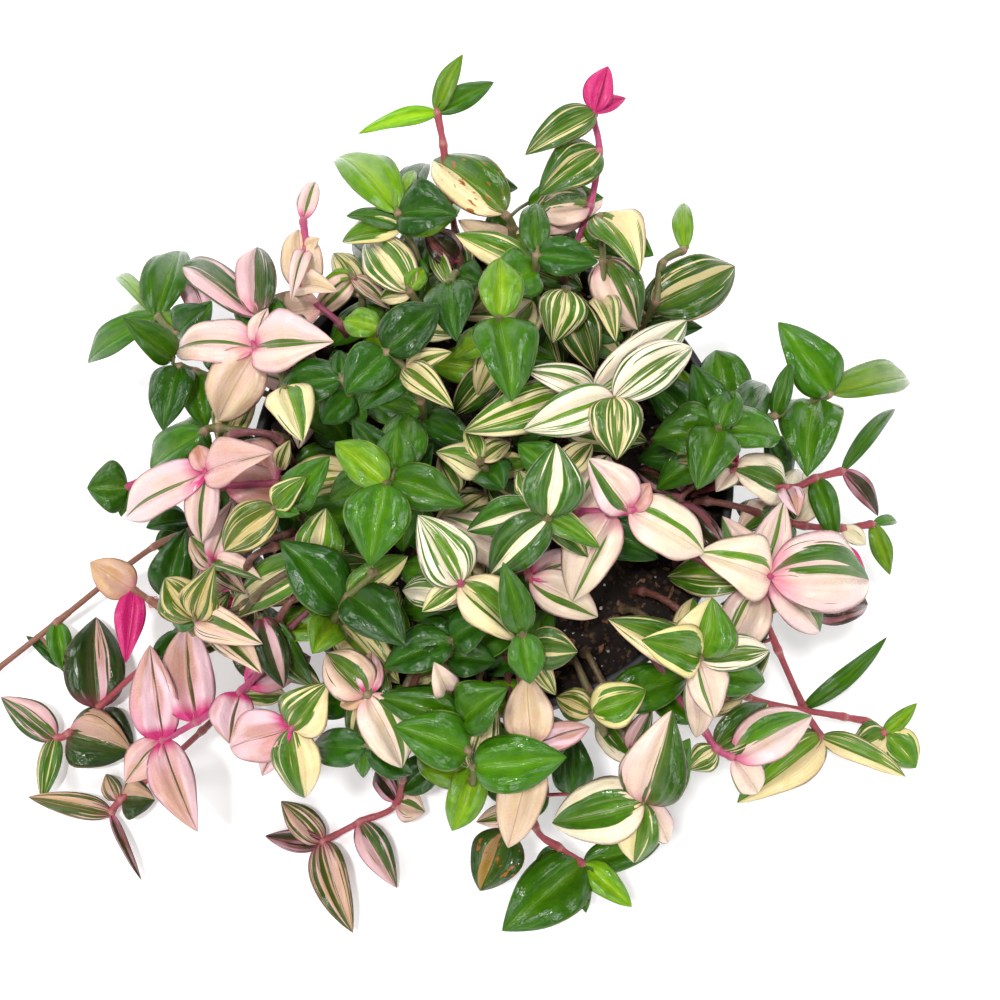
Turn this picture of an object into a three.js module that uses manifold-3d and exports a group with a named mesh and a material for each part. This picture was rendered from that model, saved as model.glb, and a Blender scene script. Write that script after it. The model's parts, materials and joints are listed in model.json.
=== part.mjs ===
// A bushy tricolour tradescantia in a plain round nursery pot. Millimetres, +Z up, the origin under
// the middle of the pot.
// The leaves of each shoot are laid out from where the photograph shows them, seen through the same lens,
// and each shoot then sinks under the ones that cover it, so that no two shoots share the same space.
import * as THREE from 'three';
import { mergeVertices } from 'three/addons/utils/BufferGeometryUtils.js';
import Module from 'manifold-3d';

const wasm = await Module();
wasm.setup();

// ---- Pot and soil -----------------------------------------------------------------------------
const POT_HEIGHT = 120;
const RIM_RADIUS = 112;
const FOOT_RADIUS = 82;
const WALL = 2.4;
const LIP_WIDTH = 4;
const LIP_HEIGHT = 14;
const FLOOR_THICKNESS = 3;
const POT_SIDES = 28;
const DRAIN_HOLES = 4;
const DRAIN_RADIUS = 5;
const DRAIN_CIRCLE = 52;
const FIT_GAP = 0.35;
const SOIL_DEPTH_BELOW_RIM = 12;
const SOIL_CROWN = 5;

// ---- Leafy stems ------------------------------------------------------------------------------
const STEM_RADIUS = 1.9;
const STEM_SIDES = 4;
const STEM_STEP = 30;
const HOLE_RADIUS = 3.3;
const HOLE_DEPTH = 14;
const HOLE_SPARE = 1.3;
const LEAF_THICKNESS = 0.8;
const LEAF_BREADTH = 1.08;
const LEAF_ARCH = 0.11;
const LEAF_FOLD = 0.2;
const LEAF_ROLL = 0.16;
const LEAF_STATIONS = [0.3, 0.7];
const SMALL_LEAF_STATIONS = [0.42];
const SMALL_LEAF_WIDTH = 13.5;
const CROWN_TOP = 200;
const CROWN_EDGE = 14;
const CROWN_REACH = 240;
const LAYER = 3;
const LAYERS = 30;
const CROWDING_COST = 9;
const JOINT_FALL = 8;
const TIP_LENGTH = 3;
const TIP_DROP = 6;
const LEAF_GAP = 3;
const GROUND_GAP = 1.4;
const RANK_TILT = [0.14, 0.06, 0, -0.05, -0.1, -0.15];
const TILTS = [0, -0.12, 0.12, -0.25, 0.25, -0.4, 0.4, -0.55, -0.7];
const RANK_STEP = 1.6;
const LYING_SHARE = 0.4;
const LOWEST_TIP = 3;
const LOWEST_JOINT = STEM_RADIUS + 1.4;
const CROWN_ROUNDS = 8;
const CROWN_FULLNESS = 0.8;

// ---- The photograph's lens: 1000 pixels, 36 mm wide sensor, 70 mm lens --------------------------
const FOCAL_PIXELS = 1000 * 70 / 36;
const CAMERA_TILT = THREE.MathUtils.degToRad(76);
const CAMERA_DISTANCE = 875;
const PICTURE_CENTRE = 500;
const AIM = new THREE.Vector3(3.7, -18, 140);
const FORWARD = new THREE.Vector3(0, Math.cos(CAMERA_TILT), -Math.sin(CAMERA_TILT));
const UPWARD = new THREE.Vector3(0, Math.sin(CAMERA_TILT), Math.cos(CAMERA_TILT));
const CAMERA = AIM.clone().addScaledVector(FORWARD, -CAMERA_DISTANCE);
const UP = new THREE.Vector3(0, 0, 1);

// Every shoot, the uppermost first: its name, its joints from the growing tip down as [x, y] or
// [x, y, height], and its leaves as [joint, tip x, tip y, width, kind], all in pixels of the photograph.
const photographed = [
  ['green_pair', [[522, 633], [528, 648]], [
    [0, 503, 562, 33, 'green'],
    [0, 530, 684, 36, 'green'],
    [1, 578, 652, 42, 'deep'],
  ]],
  ['white_star', [[460, 583], [462, 598]], [
    [0, 418, 515, 56, 'striped'],
    [0, 518, 640, 52, 'cream'],
    [0, 422, 612, 24, 'cream'],
  ]],
  ['green_heart', [[499, 318], [503, 330]], [
    [0, 500, 258, 42, 'lime'],
    [0, 512, 402, 62, 'green'],
  ]],
  ['white_rib', [[547, 517], [536, 507]], [
    [0, 556, 443, 58, 'ribbed'],
    [0, 490, 575, 48, 'ribbed'],
    [0, 600, 548, 26, 'striped'],
    [0, 588, 557, 26, 'halved'],
    [1, 467, 531, 36, 'ribbed'],
  ]],
  ['blush_star', [[631, 510], [612, 513], [580, 512]], [
    [0, 650, 483, 24, 'peach'],
    [0, 588, 458, 46, 'blush'],
    [0, 704, 553, 58, 'white'],
    [1, 572, 602, 54, 'striped'],
  ]],
  ['leaf_axis', [[386, 484], [396, 472]], [
    [0, 370, 566, 62, 'green'],
    [0, 335, 442, 40, 'lime'],
    [1, 398, 426, 42, 'green'],
    [0, 465, 506, 44, 'green'],
    [1, 352, 420, 34, 'deep'],
  ]],
  ['white_fan', [[614, 399], [606, 394], [568, 396]], [
    [0, 617, 460, 52, 'halved'],
    [0, 692, 347, 48, 'striped'],
    [0, 523, 430, 46, 'striped'],
    [1, 687, 320, 42, 'striped'],
    [1, 525, 370, 34, 'striped'],
    [2, 463, 432, 46, 'striped'],
  ]],
  ['pink_star_right', [[770, 577], [770, 592]], [
    [0, 869, 580, 80, 'blush'],
    [0, 697, 553, 62, 'cream'],
    [0, 820, 632, 54, 'blush'],
    [1, 722, 516, 42, 'striped'],
    [1, 784, 500, 40, 'blush'],
    [1, 860, 612, 46, 'maroon'],
  ]],
  ['cream_crown', [[505, 214], [512, 226]], [
    [0, 433, 160, 56, 'halved'],
  ]],
  ['crown_tip', [[537, 254], [535, 268]], [
    [0, 535, 203, 30, 'green'],
    [0, 598, 262, 38, 'deep'],
    [1, 492, 290, 52, 'green'],
    [1, 455, 234, 34, 'cream'],
  ]],
  ['upper_left_fan', [[398, 212], [402, 226]], [
    [0, 415, 170, 20, 'green'],
    [0, 335, 160, 48, 'fresh'],
    [0, 458, 216, 56, 'deep'],
    [0, 428, 164, 28, 'deep'],
    [1, 346, 216, 22, 'green'],
    [1, 342, 242, 30, 'halved'],
  ]],
  ['green_rosette', [[719, 428], [724, 444]], [
    [0, 736, 391, 34, 'green'],
    [0, 697, 490, 50, 'green'],
    [0, 652, 439, 54, 'green'],
    [0, 781, 438, 48, 'green'],
    [1, 766, 384, 40, 'deep'],
    [1, 692, 364, 44, 'deep'],
  ]],
  ['pink_star_left', [[255, 346], [264, 360]], [
    [0, 268, 308, 20, 'pink'],
    [0, 334, 342, 60, 'blush'],
    [0, 175, 352, 50, 'blush'],
    [0, 218, 421, 56, 'peach'],
  ]],
  ['left_axis', [[372, 572], [350, 595], [341, 608], [334, 622]], [
    [1, 405, 646, 54, 'deep'],
    [1, 408, 556, 34, 'halved'],
    [2, 280, 541, 58, 'deep'],
    [3, 312, 654, 38, 'green'],
  ]],
  ['pink_triplet', [[207, 473], [216, 486]], [
    [0, 198, 445, 24, 'peach'],
    [0, 273, 453, 46, 'pink'],
    [0, 126, 518, 52, 'blush'],
    [0, 202, 543, 34, 'blush'],
  ]],
  ['glossy_pair', [[386, 352], [404, 368], [420, 400]], [
    [0, 440, 305, 50, 'deep'],
    [0, 345, 394, 48, 'deep'],
    [1, 454, 409, 30, 'halved'],
    [1, 360, 410, 40, 'deep'],
    [1, 452, 352, 26, 'cream'],
  ]],
  ['front_green', [[474, 766], [473, 780]], [
    [0, 567, 757, 56, 'green'],
    [1, 452, 831, 38, 'lime'],
  ]],
  ['front_left_green', [[468, 752], [461, 722], [447, 690]], [
    [0, 394, 726, 56, 'green'],
    [1, 508, 688, 52, 'green'],
    [1, 377, 697, 44, 'green'],
    [2, 434, 662, 28, 'white'],
  ]],
  ['striped_fan', [[645, 801], [652, 790]], [
    [0, 634, 863, 40, 'halved'],
    [0, 672, 710, 62, 'peach'],
    [0, 552, 823, 62, 'striped'],
    [0, 690, 738, 42, 'green'],
    [0, 668, 843, 26, 'blush'],
  ]],
  ['striped_upper_left', [[409, 290], [416, 302]], [
    [0, 424, 268, 22, 'lime'],
    [0, 368, 240, 48, 'striped'],
    [0, 380, 299, 22, 'cream'],
    [1, 352, 244, 36, 'deep'],
  ]],
  ['blue_green', [[449, 283], [456, 274]], [
    [0, 457, 342, 46, 'deep'],
    [1, 486, 284, 32, 'deep'],
  ]],
  ['left_peach_tip', [[366, 696], [378, 682]], [
    [0, 340, 706, 22, 'peach'],
    [0, 326, 653, 50, 'peach'],
    [0, 402, 768, 50, 'cream'],
    [0, 372, 652, 26, 'pink'],
  ]],
  ['half_peach', [[292, 728], [302, 716]], [
    [0, 328, 683, 50, 'peach'],
    [0, 305, 798, 46, 'halved'],
    [0, 230, 748, 50, 'pink'],
    [1, 262, 776, 28, 'pink'],
  ]],
  ['cream_left', [[285, 388], [282, 374]], [
    [0, 303, 442, 46, 'cream'],
  ]],
  ['centre_right_halves', [[566, 290], [572, 304]], [
    [0, 553, 343, 46, 'halved'],
    [1, 595, 372, 42, 'striped'],
  ]],
  ['right_halves', [[600, 217], [603, 264], [600, 292]], [
    [0, 640, 272, 50, 'halved'],
    [1, 638, 330, 50, 'striped'],
    [2, 616, 342, 28, 'cream'],
  ]],
  ['peach_column', [[532, 745], [534, 760]], [
    [0, 527, 675, 48, 'peach'],
    [0, 590, 727, 28, 'pink'],
    [1, 508, 848, 46, 'peach'],
    [1, 572, 726, 40, 'deep'],
  ]],
  ['upright_cream', [[700, 657], [704, 674]], [
    [0, 641, 640, 50, 'halved'],
    [0, 712, 597, 60, 'halved'],
    [0, 770, 650, 36, 'ribbed'],
    [0, 714, 718, 40, 'blush'],
    [0, 608, 619, 44, 'striped'],
    [1, 765, 682, 44, 'green'],
    [1, 696, 738, 34, 'white'],
  ]],
  ['blush_lower_right', [[733, 757], [716, 748], [704, 730]], [
    [0, 812, 716, 50, 'blush'],
    [0, 758, 793, 34, 'white'],
    [1, 768, 703, 42, 'deep'],
    [1, 688, 769, 28, 'striped'],
  ]],
  ['olive_fan', [[196, 618], [194, 632]], [
    [0, 215, 565, 38, 'olive'],
    [0, 165, 578, 44, 'olive'],
    [0, 263, 644, 36, 'striped'],
    [1, 262, 674, 34, 'striped'],
    [0, 172, 622, 24, 'peach'],
  ]],
  ['grey_blush', [[212, 560], [204, 572]], [
    [0, 233, 500, 26, 'blush'],
    [0, 262, 580, 24, 'peach'],
    [1, 246, 594, 26, 'dusky'],
    [1, 190, 536, 30, 'striped'],
  ]],
  ['yellow_stripe', [[276, 507], [290, 504]], [
    [0, 306, 477, 26, 'lime'],
    [0, 224, 551, 44, 'olive'],
    [1, 330, 456, 40, 'green'],
    [0, 300, 514, 20, 'green'],
  ]],
  ['low_white', [[530, 578], [524, 562]], [
    [0, 598, 617, 42, 'cream'],
    [0, 592, 560, 30, 'pink'],
  ]],
  ['yellow_pair', [[592, 712], [602, 728]], [
    [0, 646, 690, 44, 'olive'],
    [0, 556, 697, 32, 'olive'],
  ]],
  ['centre_small', [[480, 460], [486, 470]], [
    [0, 465, 428, 20, 'lime'],
    [0, 510, 442, 24, 'cream'],
    [1, 504, 490, 42, 'deep'],
    [1, 436, 452, 38, 'cream'],
  ]],
  ['deep_left', [[342, 378], [350, 392]], [
    [0, 340, 350, 20, 'deep'],
    [0, 275, 391, 44, 'deep'],
    [1, 322, 424, 38, 'deep'],
    [1, 362, 430, 26, 'green'],
  ]],
  ['lime_cream', [[379, 330], [388, 338]], [
    [0, 343, 321, 32, 'halved'],
  ]],
  ['striped_light', [[318, 562], [326, 572]], [
    [0, 326, 508, 46, 'striped'],
    [0, 232, 617, 46, 'striped'],
  ]],
  ['cream_behind', [[560, 474], [566, 484]], [
    [0, 518, 444, 36, 'green'],
    [0, 592, 443, 30, 'cream'],
  ]],
  ['shaded_centre', [[452, 640], [448, 655]], [
    [0, 490, 620, 44, 'deep'],
    [0, 384, 668, 46, 'deep'],
    [0, 410, 636, 44, 'deep'],
    [1, 496, 662, 42, 'deep'],
  ]],
  ['dusky_pair', [[262, 618], [256, 606]], [
    [0, 284, 688, 34, 'dusky'],
    [0, 312, 686, 34, 'deep'],
  ]],
  ['dark_lower_left', [[368, 745], [386, 740]], [
    [0, 312, 748, 38, 'deep'],
    [0, 363, 778, 16, 'green'],
    [0, 412, 774, 32, 'deep'],
  ]],
  ['peach_blade', [[733, 470], [724, 482]], [
    [0, 788, 497, 48, 'peach'],
    [0, 716, 492, 22, 'white'],
  ]],
  ['right_pair', [[830, 394], [815, 401], [775, 416]], [
    [0, 908, 380, 38, 'lime'],
    [0, 778, 322, 50, 'green'],
    [1, 807, 477, 60, 'green'],
    [2, 790, 362, 20, 'green'],
  ]],
  ['right_runner', [[842, 471], [816, 478], [786, 488]], [
    [0, 895, 409, 16, 'green'],
    [0, 878, 516, 22, 'maroon'],
    [1, 836, 545, 26, 'green'],
    [2, 798, 516, 26, 'pink'],
  ]],
  ['right_tip', [[872, 524], [842, 528], [806, 526]], [
    [0, 890, 575, 20, 'lime'],
    [0, 897, 522, 12, 'green'],
    [1, 866, 545, 18, 'green'],
  ]],
  ['striped_wing', [[258, 315], [268, 328]], [
    [0, 257, 247, 40, 'pink'],
    [0, 183, 267, 36, 'striped'],
  ]],
  ['pink_bud', [[303, 220], [306, 250], [300, 286]], [
    [0, 316, 182, 20, 'pink'],
    [1, 291, 302, 18, 'blush'],
    [1, 320, 238, 14, 'peach'],
    [2, 338, 292, 28, 'peach'],
  ]],
  ['small_lime', [[352, 277], [362, 288]], [
    [0, 325, 278, 14, 'lime'],
    [0, 390, 309, 20, 'cream'],
    [0, 314, 316, 28, 'peach'],
  ]],
  ['far_left_dark', [[158, 317], [178, 334]], [
    [0, 117, 279, 16, 'lime'],
    [0, 180, 251, 46, 'deep'],
    [0, 88, 363, 30, 'green'],
    [1, 126, 322, 38, 'green'],
    [1, 208, 306, 34, 'deep'],
  ]],
  ['left_drop', [[179, 366], [196, 372]], [
    [0, 163, 431, 44, 'deep'],
    [1, 206, 430, 32, 'green'],
  ]],
  ['left_side_green', [[203, 432], [218, 428]], [
    [0, 151, 472, 38, 'green'],
  ]],
  ['tall_sprig', [[437, 112, 152], [443, 143, 146], [447, 180, 138]], [
    [0, 463, 54, 20, 'lime'],
    [0, 494, 82, 24, 'green'],
    [0, 358, 134, 18, 'pale'],
  ]],
  ['magenta_tip', [[594, 114, 168], [599, 150, 162], [590, 206, 148]], [
    [0, 608, 66, 28, 'magenta'],
    [0, 626, 98, 16, 'magenta'],
    [0, 525, 155, 34, 'striped'],
    [1, 538, 196, 46, 'striped'],
    [2, 534, 214, 48, 'halved'],
  ]],
  ['right_blade', [[684, 250], [662, 264], [656, 300]], [
    [0, 684, 203, 20, 'green'],
    [2, 735, 266, 60, 'striped'],
  ]],
  ['magenta_runner', [[162, 741, 58], [196, 722, 66], [240, 692, 84]], [
    [0, 150, 645, 48, 'pink'],
    [0, 198, 832, 42, 'pink'],
    [0, 125, 783, 36, 'peach'],
    [1, 187, 625, 56, 'pink'],
    [2, 229, 744, 44, 'pink'],
  ]],
  ['left_bud', [[128, 487, 70], [152, 475, 80], [196, 456, 96]], [
    [0, 87, 488, 48, 'green'],
    [0, 121, 517, 14, 'green'],
  ]],
  ['peach_left', [[134, 590, 50], [150, 600, 56], [176, 612, 68]], [
    [0, 90, 562, 38, 'peach'],
    [0, 126, 663, 28, 'magenta'],
    [1, 160, 606, 12, 'pink'],
  ]],
  ['front_runner', [[583, 864, 50], [560, 848, 58], [535, 826, 68]], [
    [0, 502, 931, 62, 'green'],
    [0, 632, 907, 28, 'lime'],
    [0, 586, 913, 18, 'green'],
    [0, 660, 844, 32, 'green'],
    [1, 540, 872, 24, 'deep'],
  ]],
  ['rusty_leaf', [[508, 830, 56], [516, 812, 64]], [
    [0, 480, 891, 50, 'rusty'],
    [1, 476, 822, 22, 'striped'],
  ]],
  ['right_trailer', [[821, 737, 44], [804, 708, 50], [778, 650, 66], [764, 618, 78]], [
    [0, 737, 803, 50, 'halved'],
    [0, 906, 777, 26, 'halved'],
    [1, 887, 637, 24, 'green'],
  ]],
  ['right_trailer_tip', [[884, 733, 40], [868, 722, 42], [845, 717, 46], [748, 697, 70]], [
    [0, 917, 703, 16, 'lime'],
    [0, 848, 750, 36, 'halved'],
    [0, 916, 768, 38, 'green'],
  ]],
  ['lower_left_runner', [[56, 738, 6], [68, 734, 7], [98, 708, 10], [150, 662, 34]], [
    [0, 1, 697, 32, 'dusky'],
    [0, 42, 802, 22, 'maroon'],
    [1, 132, 752, 58, 'dusky'],
    [2, 96, 617, 58, 'dusky'],
  ]],
  ['left_runner', [[-14, 678, 8], [57, 622, 12], [155, 546, 40]], [
    [0, -46, 668, 22, 'green'],
    [0, -30, 708, 24, 'green'],
    [1, 66, 674, 24, 'green'],
  ]],
  ['lowest_left_tip', [[111, 813, 5], [122, 799, 6], [168, 762, 12]], [
    [0, 28, 797, 24, 'dusky'],
    [0, 142, 881, 10, 'maroon'],
    [1, 155, 800, 40, 'dusky'],
  ]],
  ['lower_runner', [[322, 842, 5], [360, 822, 6], [396, 804, 16]], [
    [0, 353, 933, 36, 'dusky'],
    [0, 281, 801, 30, 'dusky'],
    [0, 265, 836, 22, 'maroon'],
    [1, 397, 888, 30, 'dusky'],
    [2, 425, 812, 30, 'striped'],
  ]],
];

// ---- Seeing through the lens --------------------------------------------------------------------
// The point at a given height that the lens shows at a given pixel.
function fromPhoto(px, py, height) {
  const ray = FORWARD.clone();
  ray.x += (px - PICTURE_CENTRE) / FOCAL_PIXELS;
  ray.addScaledVector(UPWARD, (PICTURE_CENTRE - py) / FOCAL_PIXELS);
  return CAMERA.clone().addScaledVector(ray, (height - CAMERA.z) / ray.z);
}

function toPhoto(point) {
  const seen = point.clone().sub(CAMERA);
  const depth = seen.dot(FORWARD);
  const px = PICTURE_CENTRE + FOCAL_PIXELS * seen.x / depth;
  const py = PICTURE_CENTRE - FOCAL_PIXELS * seen.dot(UPWARD) / depth;
  return [px, py];
}

function millimetresPerPixel(point) {
  return point.clone().sub(CAMERA).dot(FORWARD) / FOCAL_PIXELS;
}

// The mound that the foliage makes: high over the pot, falling off all round.
function crownHeight(point) {
  const reach = Math.min(Math.hypot(point.x, point.y) / CROWN_REACH, 1);
  return CROWN_EDGE + (CROWN_TOP - CROWN_EDGE) * Math.cos(reach * Math.PI / 2) ** CROWN_FULLNESS;
}

function onCrown(px, py, offset) {
  let point = fromPhoto(px, py, CROWN_TOP);
  for (let round = 0; round < CROWN_ROUNDS; round++) {
    point = fromPhoto(px, py, crownHeight(point) + offset);
  }
  return point;
}

// ---- Leaf blades ----------------------------------------------------------------------------------
// Half the width of an egg-shaped, pointed leaf along its length, 1 at the widest.
const WIDEST = 0.42;
function outline(t) {
  return (t / WIDEST) ** 0.48 * ((1 - t) / (1 - WIDEST)) ** 0.66;
}

function bladeSurface(base, tip, width, roll) {
  const chord = tip.clone().sub(base);
  const length = chord.length();
  const along = chord.clone().normalize();
  const level = new THREE.Vector3().crossVectors(along, UP).normalize();
  const across = level.clone().applyAxisAngle(along, roll);
  const lift = new THREE.Vector3().crossVectors(across, along);
  const at = (t, u) => {
    const half = 0.5 * width * outline(t);
    const rise = 4 * LEAF_ARCH * length * t * (1 - t) + LEAF_FOLD * Math.abs(u) * half;
    const point = base.clone().addScaledVector(chord, t).addScaledVector(across, u * half);
    return point.addScaledVector(lift, rise);
  };
  const stations = width < SMALL_LEAF_WIDTH ? SMALL_LEAF_STATIONS : LEAF_STATIONS;
  return { at, lift, stations };
}

// A thin closed solid that comes to a point at both ends: rows of three points, pushed half the
// thickness to each side, with the leaf's base and tip shared by both faces.
function bladeSolid(surface) {
  const rows = surface.stations.flatMap((t) => [-1, 0, 1].map((u) => surface.at(t, u)));
  const count = rows.length;
  const half = LEAF_THICKNESS / 2;
  const pushed = (side) => rows.map((point) => point.clone().addScaledVector(surface.lift, side));
  const corners = [...pushed(half), ...pushed(-half), surface.at(0, 0), surface.at(1, 0)];
  const vertices = corners.flatMap((point) => point.toArray());
  const base = 2 * count;
  const tip = base + 1;

  const index = [];
  const onBothFaces = (a, b, c) => {
    const under = (corner) => (corner < base ? corner + count : corner);
    index.push(a, b, c, under(a), under(c), under(b));
  };
  const last = count - 3;
  for (const side of [0, 1]) {
    onBothFaces(base, side + 1, side);
    onBothFaces(last + side, last + side + 1, tip);
    for (let row = 0; row < last; row += 3) {
      const corner = row + side;
      onBothFaces(corner, corner + 1, corner + 4);
      onBothFaces(corner, corner + 4, corner + 3);
    }
  }
  const edges = [[base, 0], [2, base], [tip, last + 2], [last, tip]];
  for (let row = 0; row < last; row += 3) edges.push([row, row + 3], [row + 5, row + 2]);
  for (const [a, b] of edges) {
    if (a < base) index.push(a, b, a + count);
    if (b < base) index.push(b, b + count, a < base ? a + count : a);
  }
  return toSolid(vertices, index);
}

function toSolid(vertices, index) {
  return new wasm.Manifold(new wasm.Mesh({
    numProp: 3,
    vertProperties: Float32Array.from(vertices),
    triVerts: Uint32Array.from(index),
  }));
}

const WELD = 1e-3;
function geometryToSolid(geometry) {
  geometry.deleteAttribute('normal');
  geometry.deleteAttribute('uv');
  const merged = mergeVertices(geometry, WELD);
  return toSolid(merged.attributes.position.array, merged.index.array);
}

// ---- Ground: the soil, the rim, and the surface that the pot stands on ------------------------------
const RIM_INNER = RIM_RADIUS - LIP_WIDTH;
const SOIL_TOP = POT_HEIGHT - SOIL_DEPTH_BELOW_RIM;

function soilHeight(radius) {
  return SOIL_TOP + SOIL_CROWN * (1 - (radius / RIM_INNER) ** 2);
}

function groundHeight(point) {
  const radius = Math.hypot(point.x, point.y);
  if (radius < RIM_INNER - 2) return soilHeight(radius);
  return radius < RIM_RADIUS + 2 ? POT_HEIGHT : 0;
}

// ---- Laying the shoots out, the uppermost first ------------------------------------------------------
// The canopy holds the lowest leaf so far over each small square of the picture.
const CELL = 6;
const MARGIN = 120;
const COLUMNS = Math.ceil((1000 + 2 * MARGIN) / CELL);
const EMPTY = new Float32Array(COLUMNS * COLUMNS).fill(Infinity);
const canopy = EMPTY.slice();

function cellOf(point) {
  const [px, py] = toPhoto(point);
  return Math.floor((px + MARGIN) / CELL) + COLUMNS * Math.floor((py + MARGIN) / CELL);
}

function* bladeSamples(surface, from) {
  for (let step = 0; step <= 16; step++) {
    const t = from + (1 - from) * step / 16;
    for (let side = -5; side <= 5; side++) yield surface.at(t, side / 5);
  }
}

function hasRoom(surface, from, layer, gap) {
  for (const point of bladeSamples(surface, from)) {
    if (point.z < groundHeight(point) + GROUND_GAP) return false;
    if (point.z > layer[cellOf(point)] - gap) return false;
  }
  return true;
}

function cover(surface, layer) {
  for (const point of bladeSamples(surface, 0.1)) {
    const cell = cellOf(point);
    layer[cell] = Math.min(layer[cell], point.z);
  }
}

function rollOf(shoot, blade) {
  return LEAF_ROLL * Math.sin(12.9898 * shoot + 4.1414 * blade);
}

// A joint with a height of its own hangs or lies outside the mound, and sinks less under others.
function jointPoint([px, py, height], order, drop) {
  if (height === undefined) return onCrown(px, py, -drop * LAYER - order * JOINT_FALL);
  return fromPhoto(px, py, Math.max(height - LYING_SHARE * drop * LAYER, LOWEST_JOINT));
}

// Leaves may meet near their joint: other shoots' leaves in the first part, its own up to OWN_FAN.
const NEAR_BASE = 0.14;
const OWN_FAN = 0.4;
const OWN_GAP = 1.2;
function layShoot([name, jointPixels, bladeRows], shoot, drop) {
  const joints = jointPixels.map((pixel, order) => jointPoint(pixel, order, drop));
  const lying = jointPixels[0].length === 3;
  const fan = EMPTY.slice();
  const blades = [];
  let crowded = 0;
  bladeRows.forEach(([joint, px, py, pixels, kind], blade) => {
    const rank = bladeRows.slice(0, blade).filter((row) => row[0] === joint).length;
    const step = lying ? 0.25 * RANK_STEP : RANK_STEP;
    const base = joints[joint].clone().addScaledVector(UP, -step * rank);
    const reach = lying ? fromPhoto(px, py, joints[joint].z) : onCrown(px, py, -drop * LAYER);
    const width = LEAF_BREADTH * pixels * millimetresPerPixel(base);
    const build = (tilt) => {
      const height = reach.z + (RANK_TILT[Math.min(blade, 5)] + tilt) * reach.distanceTo(base);
      const tip = fromPhoto(px, py, Math.max(height, LOWEST_TIP));
      const roll = rollOf(shoot, blade);
      return { base, tip, width, kind, roll, surface: bladeSurface(base, tip, width, roll) };
    };
    const choices = TILTS.map(build);
    const free = choices.filter(({ surface }) => hasRoom(surface, NEAR_BASE, canopy, LEAF_GAP));
    let chosen = free.find(({ surface }) => hasRoom(surface, OWN_FAN, fan, OWN_GAP));
    if (!chosen) {
      crowded += 1;
      chosen = free[0] ?? choices[0];
    }
    cover(chosen.surface, fan);
    blades.push(chosen);
  });
  return { name, joints, blades, crowded };
}

const shoots = photographed.map((entry, shoot) => {
  let best = null;
  for (let drop = 0; drop < LAYERS; drop++) {
    const trial = layShoot(entry, shoot, drop);
    trial.cost = drop + CROWDING_COST * trial.crowded;
    if (!best || trial.cost < best.cost) best = trial;
    if (best.crowded === 0) break;
  }
  best.blades.forEach(({ surface }) => cover(surface, canopy));
  return best;
});

// ---- Routing each stem down to its own hole in the soil ---------------------------------------------
// What a stem must stay clear of is kept in small boxes of space, so that only near things are compared.
const BOX = 8;
const STEM_CLEARANCE = STEM_RADIUS + 2;
const boxes = new Map();

function boxKey(x, y, z) {
  return x + 1000 * y + 1000000 * z;
}

function addObstacle(point, owner, room, woody) {
  const key = boxKey(Math.floor(point.x / BOX), Math.floor(point.y / BOX), Math.floor(point.z / BOX));
  if (!boxes.has(key)) boxes.set(key, []);
  boxes.get(key).push({ point, owner, room, woody });
}

function blocked(point, owner, room, woodOnly) {
  const [x, y, z] = point.toArray().map((value) => Math.floor(value / BOX));
  for (let dx = -1; dx <= 1; dx++) {
    for (let dy = -1; dy <= 1; dy++) {
      for (let dz = -1; dz <= 1; dz++) {
        for (const other of boxes.get(boxKey(x + dx, y + dy, z + dz)) ?? []) {
          if (other.owner === owner || (woodOnly && !other.woody)) continue;
          if (other.point.distanceTo(point) < (room ?? other.room)) return true;
        }
      }
    }
  }
  return false;
}

shoots.forEach((shoot, owner) => {
  for (const { surface } of shoot.blades) {
    for (const point of bladeSamples(surface, NEAR_BASE)) addObstacle(point, owner, STEM_CLEARANCE, false);
  }
});

function stemCurve(points) {
  return new THREE.CatmullRomCurve3(points, false, 'catmullrom', 0.5);
}

// The straight stretches of the stem's solid cut its bends short, so a leaf is moved onto them.
function nearestOnSpine(shoot, point) {
  let nearest = null;
  for (let step = 0; step < shoot.steps; step++) {
    const stretch = new THREE.Line3(shoot.spine[step], shoot.spine[step + 1]);
    const candidate = stretch.closestPointToPoint(point, true, new THREE.Vector3());
    if (!nearest || candidate.distanceTo(point) < nearest.distanceTo(point)) nearest = candidate;
  }
  return nearest;
}

// A stem from beyond the pot climbs outside it, passes over the rim and comes down inside.
const INSIDE = 14;
const OVER = 5;
const OUTSIDE = 18;
const CREST = POT_HEIGHT + 8;
const CREST_STEP = 3;
const SWING = 9;
const HOLE_CIRCLE = RIM_INNER - INSIDE;
const MOST_INWARD = 0.94;
const TURNS = 8;

function* routesFor(shoot) {
  const last = shoot.joints[shoot.joints.length - 1];
  const distance = Math.hypot(last.x, last.y);
  const inward = Math.min(HOLE_CIRCLE / Math.max(distance, 1), MOST_INWARD);
  const home = new THREE.Vector2(last.x * inward, last.y * inward);
  for (const ring of [0, 9, 18, 28]) {
    for (let turn = 0; turn < (ring === 0 ? 1 : TURNS); turn++) {
      const angle = turn * 2 * Math.PI / TURNS + ring;
      const x = home.x + ring * Math.cos(angle);
      const y = home.y + ring * Math.sin(angle);
      const radius = Math.hypot(x, y);
      if (radius > HOLE_CIRCLE) continue;
      const hole = new THREE.Vector3(x, y, soilHeight(radius));
      for (const bend of [0, 1, 2, 3, 4, 5, 6]) yield { hole, bend };
    }
  }
}

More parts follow.
